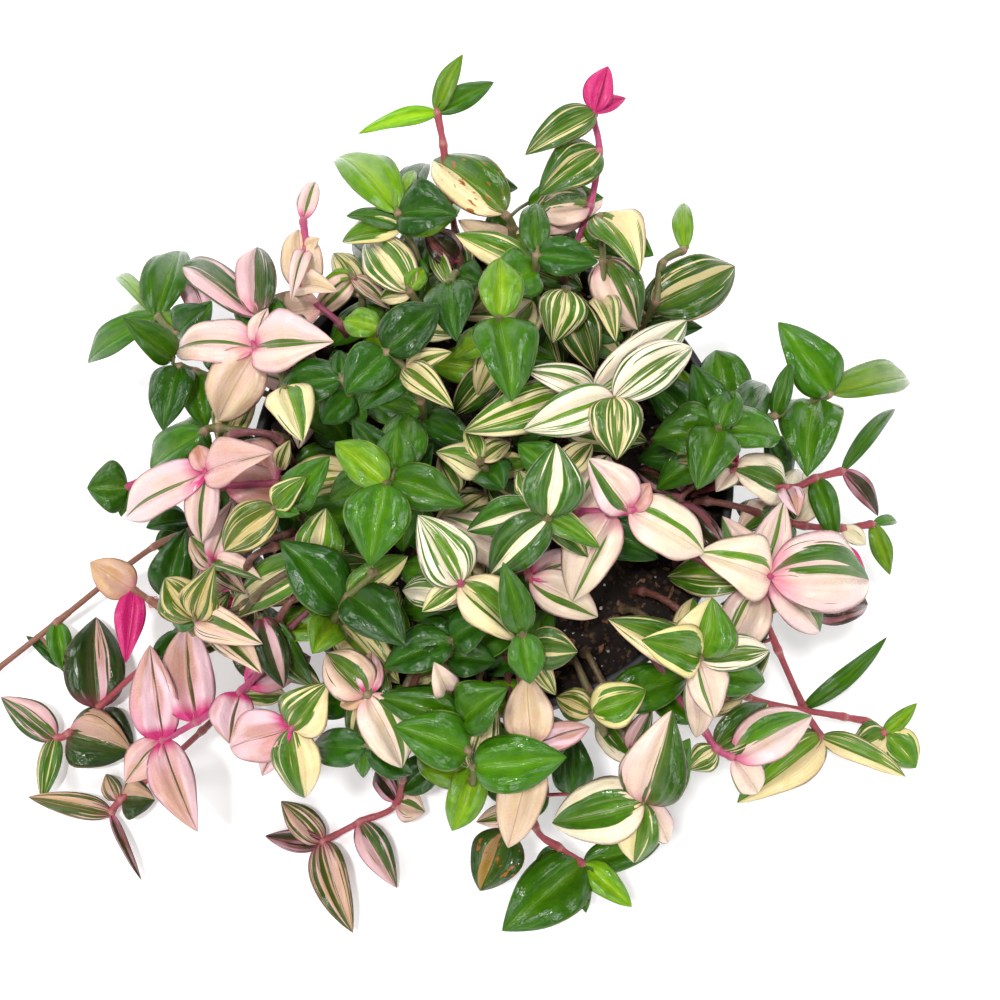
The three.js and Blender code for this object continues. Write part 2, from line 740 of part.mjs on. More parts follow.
function routePoints(shoot, { hole, bend }) {
  const tip = shoot.joints[0];
  const last = shoot.joints[shoot.joints.length - 1];
  const points = shoot.joints.map((joint) => joint.clone());
  const upright = tip.z - shoot.joints[1].z > TIP_DROP;
  const ending = upright ? UP : tip.clone().sub(shoot.joints[1]).normalize();
  if (upright) points.splice(1, 0, tip.clone().addScaledVector(UP, -TIP_DROP));
  points.unshift(tip.clone().addScaledVector(ending, TIP_LENGTH));
  const distance = Math.hypot(last.x, last.y);
  if (distance > RIM_RADIUS - LIP_WIDTH - 2) {
    const crest = Math.max(CREST + CREST_STEP * bend, 0.5 * (last.z + CREST));
    const beside = (radius, height) => {
      const scaled = last.clone().multiplyScalar(radius / distance);
      return scaled.setZ(height);
    };
    if (last.z < POT_HEIGHT + 4) {
      points.push(beside(RIM_RADIUS + OUTSIDE, 0.5 * (last.z + POT_HEIGHT)));
      points.push(beside(RIM_RADIUS + OVER, crest));
    }
    points.push(beside(RIM_RADIUS - INSIDE, crest + 2));
  } else {
    const middle = last.clone().add(hole).multiplyScalar(0.5);
    const swing = bend === 0 ? 0 : SWING;
    middle.x += swing * Math.cos(bend * Math.PI / 3);
    middle.y += swing * Math.sin(bend * Math.PI / 3);
    points.push(middle);
  }
  points.push(hole.clone().addScaledVector(UP, 0.5 * HOLE_DEPTH));
  points.push(hole.clone().addScaledVector(UP, -(HOLE_DEPTH - 5)));
  points.push(hole.clone().addScaledVector(UP, -HOLE_DEPTH + FIT_GAP));
  return points;
}

function nearRim(point) {
  const radius = Math.hypot(point.x, point.y);
  const level = point.z - POT_HEIGHT;
  return Math.abs(radius - RIM_INNER) < 2 * LIP_WIDTH && level < 3 && level > -30;
}

const SAMPLE_STEP = 3;
const RIM_HITS = 20;
shoots.forEach((shoot, owner) => {
  let best = null;
  for (const route of routesFor(shoot)) {
    const curve = stemCurve(routePoints(shoot, route));
    const length = curve.getLength();
    const samples = curve.getSpacedPoints(Math.ceil(length / SAMPLE_STEP)).slice(2);
    const crossings = samples.filter((point) => blocked(point, owner)).length;
    const hits = crossings + (samples.some(nearRim) ? RIM_HITS : 0);
    if (!best || hits < best.hits) best = { curve, length, samples, hits };
    if (hits === 0) break;
  }
  Object.assign(shoot, best);
  shoot.steps = Math.ceil(shoot.length / STEM_STEP);
  shoot.spine = shoot.curve.getSpacedPoints(shoot.steps);
  for (const blade of shoot.blades) {
    blade.base = nearestOnSpine(shoot, blade.base);
    blade.surface = bladeSurface(blade.base, blade.tip, blade.width, blade.roll);
  }
  for (const point of best.samples) addObstacle(point, owner, STEM_RADIUS + STEM_CLEARANCE, true);
});

// ---- Shade leaves: plain green leaves lower on the hidden stems, wherever they find room -------------
const SHADE_SPACING = 21;
const MOST_SHADE = 1;
const SHADE_LENGTH = 37;
const SHADE_TURNS = [0, 0.6, -0.6, 1.2, -1.2];
const SHADE_TILTS = [0.1, -0.2, -0.5, 0.4, -0.8];
const SHADE_REACH = 165;
const SHADE_VARIATION = 0.16;
const SHADE_SLIMNESS = 0.56;
const GOLDEN_TURN = 2.4;
const SOIL_WINDOWS = [[632, 598, 44], [588, 668, 40], [435, 255, 26], [700, 490, 22]];

function showsSoil(point) {
  const [px, py] = toPhoto(point);
  return SOIL_WINDOWS.some(([x, y, radius]) => Math.hypot(px - x, py - y) < radius);
}

function shadeFits(surface, owner) {
  for (const point of bladeSamples(surface, NEAR_BASE)) {
    if (point.z < groundHeight(point) + GROUND_GAP + 0.5) return false;
    const roof = canopy[cellOf(point)];
    if (point.z > roof - LEAF_GAP) return false;
    if (roof === Infinity && Math.hypot(point.x, point.y) > SHADE_REACH) return false;
    if (showsSoil(point)) return false;
  }
  for (const point of bladeSamples(surface, NEAR_BASE)) {
    if (blocked(point, owner, STEM_CLEARANCE, true)) return false;
  }
  return true;
}

shoots.forEach((shoot, owner) => {
  shoot.shade = [];
  const hidden = shoot.length - HOLE_DEPTH - 10;
  const start = shoot.joints.length > 1 ? shoot.joints[0].distanceTo(shoot.joints.at(-1)) + 12 : 14;
  for (let order = 0; start + order * SHADE_SPACING < hidden; order++) {
    if (shoot.shade.length === MOST_SHADE) break;
    const along = (start + order * SHADE_SPACING) / shoot.length;
    const base = nearestOnSpine(shoot, shoot.curve.getPointAt(along));
    const heading = GOLDEN_TURN * owner + Math.PI * order;
    const length = SHADE_LENGTH * (1 + SHADE_VARIATION * Math.sin(7.3 * owner + 2.9 * order));
    const choices = SHADE_TURNS.flatMap((turn) => SHADE_TILTS.map((tilt) => {
      const reach = new THREE.Vector3(Math.cos(heading + turn), Math.sin(heading + turn), tilt);
      const tip = base.clone().addScaledVector(reach.normalize(), length);
      return bladeSurface(base, tip, SHADE_SLIMNESS * length, rollOf(owner, order + 20));
    }));
    const surface = choices.find((choice) => shadeFits(choice, owner));
    if (!surface) continue;
    cover(surface, canopy);
    shoot.shade.push(surface);
  }
});

// ---- Solids --------------------------------------------------------------------------------------------
function polygon(radius) {
  const corners = Array.from({ length: STEM_SIDES }, (_, side) => {
    const angle = 2 * Math.PI * side / STEM_SIDES;
    return new THREE.Vector2(radius * Math.cos(angle), radius * Math.sin(angle));
  });
  return new THREE.Shape(corners);
}

function sweep(section, path, steps) {
  return geometryToSolid(new THREE.ExtrudeGeometry(section, { steps, extrudePath: path }));
}

function shootSolid(shoot) {
  let solid = sweep(polygon(STEM_RADIUS), shoot.curve, shoot.steps);
  for (const { surface } of shoot.blades) solid = solid.add(bladeSolid(surface));
  for (const surface of shoot.shade) solid = solid.add(bladeSolid(surface));
  return solid;
}

function latheSolid(profile, sides) {
  const points = profile.map(([radius, height]) => new THREE.Vector2(radius, height));
  const geometry = new THREE.LatheGeometry(points, sides);
  geometry.rotateX(Math.PI / 2);
  return geometryToSolid(geometry);
}

function prism(radius, bottom, top, x, y, sides) {
  const geometry = new THREE.CylinderGeometry(radius, radius, top - bottom, sides);
  geometry.rotateX(Math.PI / 2);
  geometry.translate(x, y, 0.5 * (bottom + top));
  return geometryToSolid(geometry);
}

function potSolid() {
  const lipBottom = POT_HEIGHT - LIP_HEIGHT;
  const skirt = RIM_RADIUS - LIP_WIDTH + WALL - 1;
  let solid = latheSolid([
    [0, 0],
    [FOOT_RADIUS - 3, 0],
    [FOOT_RADIUS, 3],
    [skirt, lipBottom],
    [RIM_RADIUS, lipBottom],
    [RIM_RADIUS, POT_HEIGHT - 1.5],
    [RIM_RADIUS - 1.5, POT_HEIGHT],
    [RIM_INNER + 0.6, POT_HEIGHT],
    [RIM_INNER, POT_HEIGHT - 1],
    [skirt - WALL, lipBottom - 3],
    [FOOT_RADIUS - WALL - 0.4, FLOOR_THICKNESS],
    [0, FLOOR_THICKNESS],
  ], POT_SIDES);
  for (let hole = 0; hole < DRAIN_HOLES; hole++) {
    const angle = 2 * Math.PI * (hole + 0.5) / DRAIN_HOLES;
    const x = DRAIN_CIRCLE * Math.cos(angle);
    const y = DRAIN_CIRCLE * Math.sin(angle);
    solid = solid.subtract(prism(DRAIN_RADIUS, -1, FLOOR_THICKNESS + 1, x, y, 8));
  }
  return solid;
}

function soilSolid() {
  const lipBottom = POT_HEIGHT - LIP_HEIGHT;
  const skirt = RIM_RADIUS - LIP_WIDTH - 1;
  const gap = FIT_GAP + 0.15;
  const rings = [0.9, 0.5].map((share) => {
    const radius = share * (RIM_INNER - gap);
    return [radius, soilHeight(radius)];
  });
  let solid = latheSolid([
    [0, FLOOR_THICKNESS + FIT_GAP],
    [FOOT_RADIUS - WALL - 0.8 - gap, FLOOR_THICKNESS + FIT_GAP],
    [skirt - gap, lipBottom - 3.2],
    [RIM_INNER - gap - 0.5, SOIL_TOP - 1],
    ...rings,
    [0, soilHeight(0)],
  ], POT_SIDES);
  for (const { spine } of shoots) {
    const [above, bottom] = spine.slice(-2);
    const along = bottom.clone().sub(above).normalize();
    const path = new THREE.LineCurve3(above, bottom.clone().addScaledVector(along, HOLE_SPARE));
    solid = solid.subtract(sweep(polygon(HOLE_RADIUS), path, 1));
  }
  return solid;
}

// ---- Shoots that still touch are fused into one leafy stem --------------------------------------------
const TOUCH_VOLUME = 0.002;
const clumps = shoots.map((shoot) => {
  return { name: shoot.name, kind: shoot.blades[0].kind, solid: shootSolid(shoot) };
});

function boxesMeet(a, b) {
  const first = a.boundingBox();
  const second = b.boundingBox();
  const meetAlong = (axis) => first.min[axis] < second.max[axis] && second.min[axis] < first.max[axis];
  return [0, 1, 2].every(meetAlong);
}

for (let first = 0; first < clumps.length; first++) {
  for (let second = first + 1; second < clumps.length; second++) {
    const [a, b] = [clumps[first], clumps[second]];
    if (!boxesMeet(a.solid, b.solid)) continue;
    if (a.solid.intersect(b.solid).volume() < TOUCH_VOLUME) continue;
    clumps[first] = { ...a, solid: a.solid.add(b.solid) };
    clumps.splice(second, 1);
    second = first;
  }
}

// ---- Meshes --------------------------------------------------------------------------------------------
const KIND_COLOURS = {
  deep: 0x1f5a1c, green: 0x3d8a22, fresh: 0x5fae2e, lime: 0x8cc63a, pale: 0x86a486, halved: 0xa9c46a,
  striped: 0x9dbb8a, ribbed: 0x7fa877, cream: 0xefe3c2, peach: 0xecc6a0, white: 0xf3ece6, blush: 0xf0d6d0,
  pink: 0xdca0a8, dusky: 0x5a5a44, rusty: 0x4a5a22, magenta: 0xc0307a, maroon: 0x5c2028, olive: 0x9ea64a,
};

// Leaves that close round a pocket seal a small hollow in. Its faces are left out, which fills it.
function outerFaces(positions, index) {
  const parent = Array.from({ length: positions.length / 3 }, (_, corner) => corner);
  const rootOf = (corner) => {
    while (parent[corner] !== corner) corner = parent[corner];
    return corner;
  };
  for (let face = 0; face < index.length; face += 3) {
    parent[rootOf(index[face + 1])] = rootOf(index[face]);
    parent[rootOf(index[face + 2])] = rootOf(index[face]);
  }
  const corner = (place) => new THREE.Vector3().fromArray(positions, 3 * index[place]);
  const volumes = new Map();
  for (let face = 0; face < index.length; face += 3) {
    const root = rootOf(index[face]);
    const volume = corner(face).dot(corner(face + 1).cross(corner(face + 2))) / 6;
    volumes.set(root, (volumes.get(root) ?? 0) + volume);
  }
  return index.filter((_, place) => volumes.get(rootOf(index[place - place % 3])) > 0);
}

function geometryOf(solid) {
  const { vertProperties, triVerts } = solid.getMesh();
  const geometry = new THREE.BufferGeometry();
  geometry.setAttribute('position', new THREE.BufferAttribute(vertProperties, 3));
  geometry.setIndex(new THREE.BufferAttribute(outerFaces(vertProperties, triVerts), 1));
  return geometry;
}

// The welding after the joining can close a crack round a hollow, so the faces are sorted again after it.
function addMesh(name, solid, colour, roughness) {
  const geometry = geometryOf(geometryToSolid(geometryOf(solid)));
  geometry.computeVertexNormals();
  const material = new THREE.MeshStandardMaterial({ color: colour, roughness, metalness: 0 });
  const mesh = new THREE.Mesh(geometry, material);
  mesh.name = name;
  group.add(mesh);
}

const group = new THREE.Group();
addMesh('pot', potSolid(), 0x24262a, 0.5);
addMesh('soil', soilSolid(), 0x1d1512, 0.95);
for (const { name, solid, kind } of clumps) addMesh(`stem_${name}`, solid, KIND_COLOURS[kind], 0.35);

export default group;
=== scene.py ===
import json
import math
import bpy
import numpy as np
from mathutils import Matrix

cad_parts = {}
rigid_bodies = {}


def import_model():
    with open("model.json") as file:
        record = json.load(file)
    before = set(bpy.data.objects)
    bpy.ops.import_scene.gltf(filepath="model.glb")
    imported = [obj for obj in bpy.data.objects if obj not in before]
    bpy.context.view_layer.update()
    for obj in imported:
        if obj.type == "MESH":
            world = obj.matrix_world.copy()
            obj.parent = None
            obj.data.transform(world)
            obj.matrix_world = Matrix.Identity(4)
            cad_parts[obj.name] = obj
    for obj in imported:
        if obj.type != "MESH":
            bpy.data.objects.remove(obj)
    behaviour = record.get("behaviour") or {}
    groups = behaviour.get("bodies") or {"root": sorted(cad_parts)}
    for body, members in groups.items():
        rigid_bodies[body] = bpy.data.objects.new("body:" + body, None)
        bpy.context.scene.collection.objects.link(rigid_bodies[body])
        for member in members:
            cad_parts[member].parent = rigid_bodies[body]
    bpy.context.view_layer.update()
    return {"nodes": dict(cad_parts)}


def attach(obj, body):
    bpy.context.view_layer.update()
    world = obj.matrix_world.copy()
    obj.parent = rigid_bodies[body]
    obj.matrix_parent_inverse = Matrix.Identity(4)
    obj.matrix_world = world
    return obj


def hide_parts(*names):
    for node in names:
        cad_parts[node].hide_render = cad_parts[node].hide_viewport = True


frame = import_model()

# ---- Camera ---------------------------------------------------------------------------------------
# The photograph looks down on the plant at 76 degrees, through a 70 mm lens 875 mm away. The foliage is
# read back through the same lens, so the camera comes first.
LENS_MM = 70.0
SENSOR_MM = 36.0
LENS_TILT = math.radians(76)
LENS_DISTANCE = 0.875
AIM = np.array([0.0037, -0.018, 0.140])
FORWARD = np.array([0.0, math.cos(LENS_TILT), -math.sin(LENS_TILT)])
UPWARD = np.array([0.0, math.sin(LENS_TILT), math.cos(LENS_TILT)])
EYE = AIM - LENS_DISTANCE * FORWARD
PHOTO_WIDTH = 1000
FOCAL = PHOTO_WIDTH * LENS_MM / SENSOR_MM
MIDDLE = 500

camera_data = bpy.data.cameras.new("camera")
camera_data.lens = LENS_MM
camera_data.sensor_width = SENSOR_MM
camera = bpy.data.objects.new("camera", camera_data)
camera.location = EYE
camera.rotation_euler = (math.pi / 2 - LENS_TILT, 0, 0)
bpy.context.collection.objects.link(camera)
bpy.context.scene.camera = camera


def from_photo(px, py, height):
    """The point at that height, in metres, that the lens shows at a pixel."""
    ray = FORWARD + UPWARD * (MIDDLE - py) / FOCAL
    ray[0] += (px - MIDDLE) / FOCAL
    return EYE + ray * (height - EYE[2]) / ray[2]


def to_photo(points):
    """Pixels of an array of points, and their depths."""
    seen = points - EYE
    depth = seen @ FORWARD
    across = MIDDLE + FOCAL * seen[..., 0] / depth
    down = MIDDLE - FOCAL * (seen @ UPWARD) / depth
    return np.stack([across, down], -1), depth

# ---- Pot ------------------------------------------------------------------------------------------
# A plain round nursery pot, moulded in thin charcoal plastic, with a thick rolled lip, a flat foot and
# four drain holes. It stands on its foot, and the leaves hide it in the photograph.
POT_HEIGHT = 0.120
RIM_RADIUS = 0.112
FOOT_RADIUS = 0.082
WALL = 0.0024
LIP_WIDTH = 0.004
LIP_HEIGHT = 0.014
POT_FLOOR = 0.003
DRAIN_HOLES = 4
DRAIN_RADIUS = 0.005
DRAIN_CIRCLE = 0.052
RIM_INNER = RIM_RADIUS - LIP_WIDTH
SKIRT = RIM_INNER + WALL - 0.001
POT_ROUNDING = 0.0014
ARC_STEPS = 4
POT_SIDES = 128
DRILL_SIDES = 24
DRILL_REACH = 0.01
SHARP_EDGE = math.radians(38)


class Value:
    """A socket that carries a number through a material, so that shader maths reads as Python."""

    def __init__(self, paint, socket):
        self.paint = paint
        self.socket = socket

    def maths(self, operation, *values):
        return self.paint.node("Math", {"operation": operation}, *values)

    def __add__(self, other):
        return self.maths("ADD", self, other)

    __radd__ = __add__

    def __sub__(self, other):
        return self.maths("SUBTRACT", self, other)

    def __rsub__(self, other):
        return self.maths("SUBTRACT", other, self)

    def __mul__(self, other):
        return self.maths("MULTIPLY", self, other)

    __rmul__ = __mul__

    def __abs__(self):
        return self.maths("ABSOLUTE", self)


class Paint:
    """A material of one Principled surface, whose colour, roughness and bump are built up by nodes."""

    def __init__(self, name, **settings):
        self.material = bpy.data.materials.new(name)
        self.material.use_nodes = True
        self.tree = self.material.node_tree
        self.surface = self.tree.nodes["Principled BSDF"]
        for socket, value in settings.items():
            self.surface.inputs[socket.replace("_", " ")].default_value = value

    def node(self, kind, settings, *values, out=0, **named):
        made = self.tree.nodes.new("ShaderNode" + kind)
        for setting, value in settings.items():
            setattr(made, setting, value)
        sockets = list(zip(made.inputs, values))
        sockets += [(made.inputs[key.replace("_", " ")], value) for key, value in named.items()]
        for socket, value in sockets:
            if isinstance(value, Value):
                self.tree.links.new(value.socket, socket)
            else:
                socket.default_value = value
        return Value(self, made.outputs[out])

    def place(self):
        return self.node("TexCoord", {}, out="Object")

    def scaled(self, vector, scale):
        return self.node("VectorMath", {"operation": "MULTIPLY"}, vector, scale)

    def vector(self, x, y, z=0.0):
        return self.node("CombineXYZ", {}, x, y, z)

    def part(self, vector, axis):
        return self.node("SeparateXYZ", {}, vector, out=axis)

    def stored(self, name, out="Vector"):
        """What the mesh keeps at each corner under that name."""
        return self.node("Attribute", {"attribute_name": name}, out=out)

    def clamp(self, value):
        return self.node("Clamp", {}, value)

    def noise(self, vector, scale, detail=3.0, roughness=0.5):
        return self.node("TexNoise", {}, Vector=vector, Scale=scale, Detail=detail, Roughness=roughness)

    def step(self, value, low, high):
        """0 below low, 1 above high, and smooth between."""
        return self.node("MapRange", {"interpolation_type": "SMOOTHSTEP"}, value, low, high, 0.0, 1.0)

    def mix(self, share, first, second):
        made = self.tree.nodes.new("ShaderNodeMix")
        made.data_type = "RGBA"
        for index, value in ((0, share), (6, first), (7, second)):
            if isinstance(value, Value):
                self.tree.links.new(value.socket, made.inputs[index])
            else:
                made.inputs[index].default_value = value if index == 0 else (*value, 1)
        return Value(self, made.outputs[2])

    def finish(self, colour, roughness, height, bump_mm):
        bump = self.node("Bump", {}, Strength=1.0, Distance=bump_mm / 1000, Height=height)
        self.tree.links.new(colour.socket, self.surface.inputs["Base Color"])
        self.tree.links.new(roughness.socket, self.surface.inputs["Roughness"])
        self.tree.links.new(bump.socket, self.surface.inputs["Normal"])


def mesh_object(name, vertices, faces, materials, slots=None):
    """A smooth-shaded mesh object at the origin."""
    mesh = bpy.data.meshes.new(name)
    mesh.from_pydata(np.asarray(vertices).tolist(), [], faces)
    for material in materials:
        mesh.materials.append(material)
    if slots is not None:
        mesh.polygons.foreach_set("material_index", slots)
    mesh.polygons.foreach_set("use_smooth", [True] * len(mesh.polygons))
    made = bpy.data.objects.new(name, mesh)
    bpy.context.collection.objects.link(made)
    return made


def ringed(start, rings, end):
    """The vertices and faces of a closed surface over rings of points, with one point at either end."""
    rows, sides = len(rings), len(rings[0])
    vertices = np.vstack([start, *rings, end])
    faces = []
    for side in range(sides):
        other = (side + 1) % sides
        faces.append((0, 1 + other, 1 + side))
        for row in range(rows - 1):
            low, high = 1 + row * sides, 1 + (row + 1) * sides
            faces.append((low + side, low + other, high + other, high + side))
        last = 1 + (rows - 1) * sides
        faces.append((last + side, last + other, len(vertices) - 1))
    return vertices, faces


def turned(profile, sides):
    """A profile turned round the upright axis, from axis to axis."""
    angles = 2 * math.pi * np.arange(sides) / sides
    rings = [np.stack([radius * np.cos(angles), radius * np.sin(angles), np.full(sides, height)], 1)
             for radius, height in profile[1:-1]]
    return ringed((0, 0, profile[0][1]), rings, (0, 0, profile[-1][1]))


def rounded(points, radius):
    """A profile with each inner corner replaced by a small arc."""
    smooth = [points[0]]
    for before, corner, after in zip(points, points[1:], points[2:]):
        before, corner, after = (np.array(point, float) for point in (before, corner, after))
        reach = min(radius, 0.45 * np.linalg.norm(before - corner), 0.45 * np.linalg.norm(after - corner))
        start = corner + (before - corner) / np.linalg.norm(before - corner) * reach
        end = corner + (after - corner) / np.linalg.norm(after - corner) * reach
        for step in range(ARC_STEPS + 1):
            t = step / ARC_STEPS
            point = (1 - t) ** 2 * start + 2 * t * (1 - t) * corner + t ** 2 * end
            smooth.append(tuple(point))
    return smooth + [points[-1]]


lip_bottom = POT_HEIGHT - LIP_HEIGHT
pot_profile = rounded([
    (0, 0), (FOOT_RADIUS, 0), (FOOT_RADIUS + 0.0015, 0.008), (FOOT_RADIUS + 0.0006, 0.0092),
    (SKIRT - 0.0012, lip_bottom - 0.012), (SKIRT - 0.0002, lip_bottom - 0.011),
    (SKIRT, lip_bottom), (RIM_RADIUS, lip_bottom), (RIM_RADIUS, POT_HEIGHT), (RIM_INNER, POT_HEIGHT),
    (RIM_INNER - 0.001, lip_bottom - 0.003), (FOOT_RADIUS - WALL - 0.0004, POT_FLOOR), (0, POT_FLOOR),
], POT_ROUNDING)
pot_profile[0], pot_profile[-1] = (0, 0), (0, POT_FLOOR)

plastic = Paint("charcoal_plastic", IOR=1.46)
grain = plastic.noise(plastic.place(), 1400.0, 2.0)
cloud = plastic.noise(plastic.place(), 26.0, 4.0, 0.6)
height_up = plastic.part(plastic.place(), "Z")
dust = plastic.step(cloud, 0.5, 0.78) * plastic.step(height_up, 0.09, 0.0) * 0.55
plastic_colour = plastic.mix(grain, (0.014, 0.0155, 0.018), (0.024, 0.026, 0.029))
plastic_colour = plastic.mix(dust, plastic_colour, (0.10, 0.075, 0.052))
plastic.finish(plastic_colour, 0.36 + 0.16 * cloud + 0.25 * dust, grain, 0.06)

pot = mesh_object("pot_shell", *turned(pot_profile, POT_SIDES), [plastic.material])
for turn in range(DRAIN_HOLES):
    angle = 2 * math.pi * (turn + 0.5) / DRAIN_HOLES
    drill = mesh_object(f"drill_{turn}", *turned([
        (0, -DRILL_REACH), (DRAIN_RADIUS, -DRILL_REACH), (DRAIN_RADIUS, DRILL_REACH), (0, DRILL_REACH),
    ], DRILL_SIDES), [plastic.material])
    drill.data.transform(Matrix.Translation(
        (DRAIN_CIRCLE * math.cos(angle), DRAIN_CIRCLE * math.sin(angle), 0)))
    cut = pot.modifiers.new(f"drain_{turn}", "BOOLEAN")
    cut.operation = "DIFFERENCE"
    cut.object = drill
bpy.context.view_layer.update()
drilled = bpy.data.meshes.new_from_object(pot.evaluated_get(bpy.context.evaluated_depsgraph_get()))
pot.modifiers.clear()
pot.data = drilled
pot.data.set_sharp_from_angle(angle=SHARP_EDGE)
for drill in [made for made in bpy.data.objects if made.name.startswith("drill_")]:
    bpy.data.objects.remove(drill)
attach(pot, "root")
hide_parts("pot")

# ---- Soil -----------------------------------------------------------------------------------------
# Dark, damp potting soil up to 12 mm below the rim, slightly heaped and rough, with loose crumbs, bits of
# bark and a few white specks of perlite on it. It fills the pot, and every stem stands in it.
SOIL_TOP = POT_HEIGHT - 0.012
SOIL_CROWN = 0.005
SOIL_EDGE = RIM_INNER - 0.0012
SOIL_ROWS, SOIL_SIDES = 60, 180
SOIL_WAVES = 26
WAVE_RANGE = (150, 900)
WAVE_SHARE = 0.16
SETTLED = 0.0006
SOIL_GAP = 0.0004


def soil_height(radius):
    return SOIL_TOP + SOIL_CROWN * (1 - (radius / RIM_INNER) ** 2)


earth = Paint("potting_soil", IOR=1.35)
crumb = earth.noise(earth.place(), 620.0, 5.0, 0.65)
clod = earth.noise(earth.place(), 90.0, 3.0)
fleck = earth.node("TexVoronoi", {"feature": "F1"}, Vector=earth.place(), Scale=430.0, Randomness=1.0)
speck = earth.step(0.16 - fleck, 0.0, 0.04) * earth.step(clod, 0.5, 0.62)
earth_colour = earth.mix(crumb, (0.003, 0.002, 0.0016), (0.030, 0.017, 0.011))
earth_colour = earth.mix(clod, earth_colour, (0.012, 0.008, 0.006))
earth_colour = earth.mix(speck * 0.5, earth_colour, (0.36, 0.27, 0.18))
earth.finish(earth_colour, 0.62 + 0.3 * crumb, crumb + 0.5 * clod, 0.9)

random = np.random.default_rng(11)
phases = random.uniform(0, 2 * math.pi, (SOIL_WAVES, 2))[:, 0]
waves = random.uniform(*WAVE_RANGE, SOIL_WAVES)
headings = random.uniform(0, 2 * math.pi, SOIL_WAVES)
profile = [(0, soil_height(0))] + [(SOIL_EDGE * row / SOIL_ROWS, 0) for row in range(1, SOIL_ROWS + 1)]
profile += [(SOIL_EDGE - 0.001, SOIL_TOP - 0.006), (FOOT_RADIUS - WALL - 0.0013, POT_FLOOR + SOIL_GAP)]
profile += [(0, POT_FLOOR + SOIL_GAP)]
vertices, faces = turned(profile, SOIL_SIDES)
top = np.arange(1 + SOIL_ROWS * SOIL_SIDES)
radius = np.hypot(vertices[top, 0], vertices[top, 1])
rough = sum(
    np.sin(wave * (vertices[top, 0] * math.cos(turn) + vertices[top, 1] * math.sin(turn)) + phase) / wave
    for wave, turn, phase in zip(waves, headings, phases))
vertices[top, 2] = soil_height(radius) + WAVE_SHARE * rough - SETTLED
soil = mesh_object("soil_bed", vertices, [face[::-1] for face in faces], [earth.material])
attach(soil, "root")
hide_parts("soil")

# ---- Crumbs, bark and perlite ---------------------------------------------------------------------
# Loose crumbs of peat, chips of bark and white grains of perlite that lie on the soil, as they were left
# after potting: some 2900 crumbs, 390 chips and 210 grains, on the top of the soil alone.
LUMP_TILT = 0.5
SMALLEST_LUMP = 0.35
DENTS = 900.0


class Growth:
    """A geometry group with named inputs. It is laid on a mesh and read back as a plain piece."""

    def __init__(self, name, **inputs):
        self.name = name
        self.inputs = inputs
        self.group = bpy.data.node_groups.new(name + "_group", "GeometryNodeTree")
        self.ports = {}
        for label, kind in [("Ground", "Geometry")] + [(label, kind) for label, (kind, _) in inputs.items()]:
            self.ports[label] = self.group.interface.new_socket(
                label.replace("_", " "), in_out="INPUT", socket_type="NodeSocket" + kind)
        self.group.interface.new_socket("Piece", in_out="OUTPUT", socket_type="NodeSocketGeometry")
        self.outputs = self.group.nodes.new("NodeGroupInput").outputs

    def given(self, label):
        return self.outputs[label.replace("_", " ")]

    def node(self, kind, settings, links, out=0):
        made = self.group.nodes.new(kind)
        for setting, value in settings.items():
            setattr(made, setting, value)
        for socket, value in links.items():
            if isinstance(value, bpy.types.NodeSocket):
                self.group.links.new(value, made.inputs[socket])
            else:
                made.inputs[socket].default_value = value
        return made.outputs[out]

    def piece(self, ground, shapes, coat, push=None):
        """Realizes the shapes, pushes their corners about, coats them and keeps the plain mesh."""
        real = self.node("GeometryNodeRealizeInstances", {}, {0: shapes})
        if push:
            real = self.node("GeometryNodeSetPosition", {}, {"Geometry": real, "Offset": push})
        coated = self.node("GeometryNodeSetMaterial", {}, {"Geometry": real, "Material": coat})
        self.group.links.new(coated, self.group.nodes.new("NodeGroupOutput").inputs[0])
        source = bpy.data.objects.new(self.name + "_ground", ground)
        bpy.context.collection.objects.link(source)
        modifier = source.modifiers.new("growth", "NODES")
        modifier.node_group = self.group
        for label, (_, value) in self.inputs.items():
            modifier[self.ports[label].identifier] = value
        graph = bpy.context.evaluated_depsgraph_get()
        mesh = bpy.data.meshes.new_from_object(source.evaluated_get(graph), depsgraph=graph)
        source.modifiers.remove(modifier)
        bpy.data.objects.remove(source)
        made = bpy.data.objects.new(self.name, mesh)
        bpy.context.collection.objects.link(made)
        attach(made, "root")
        return made


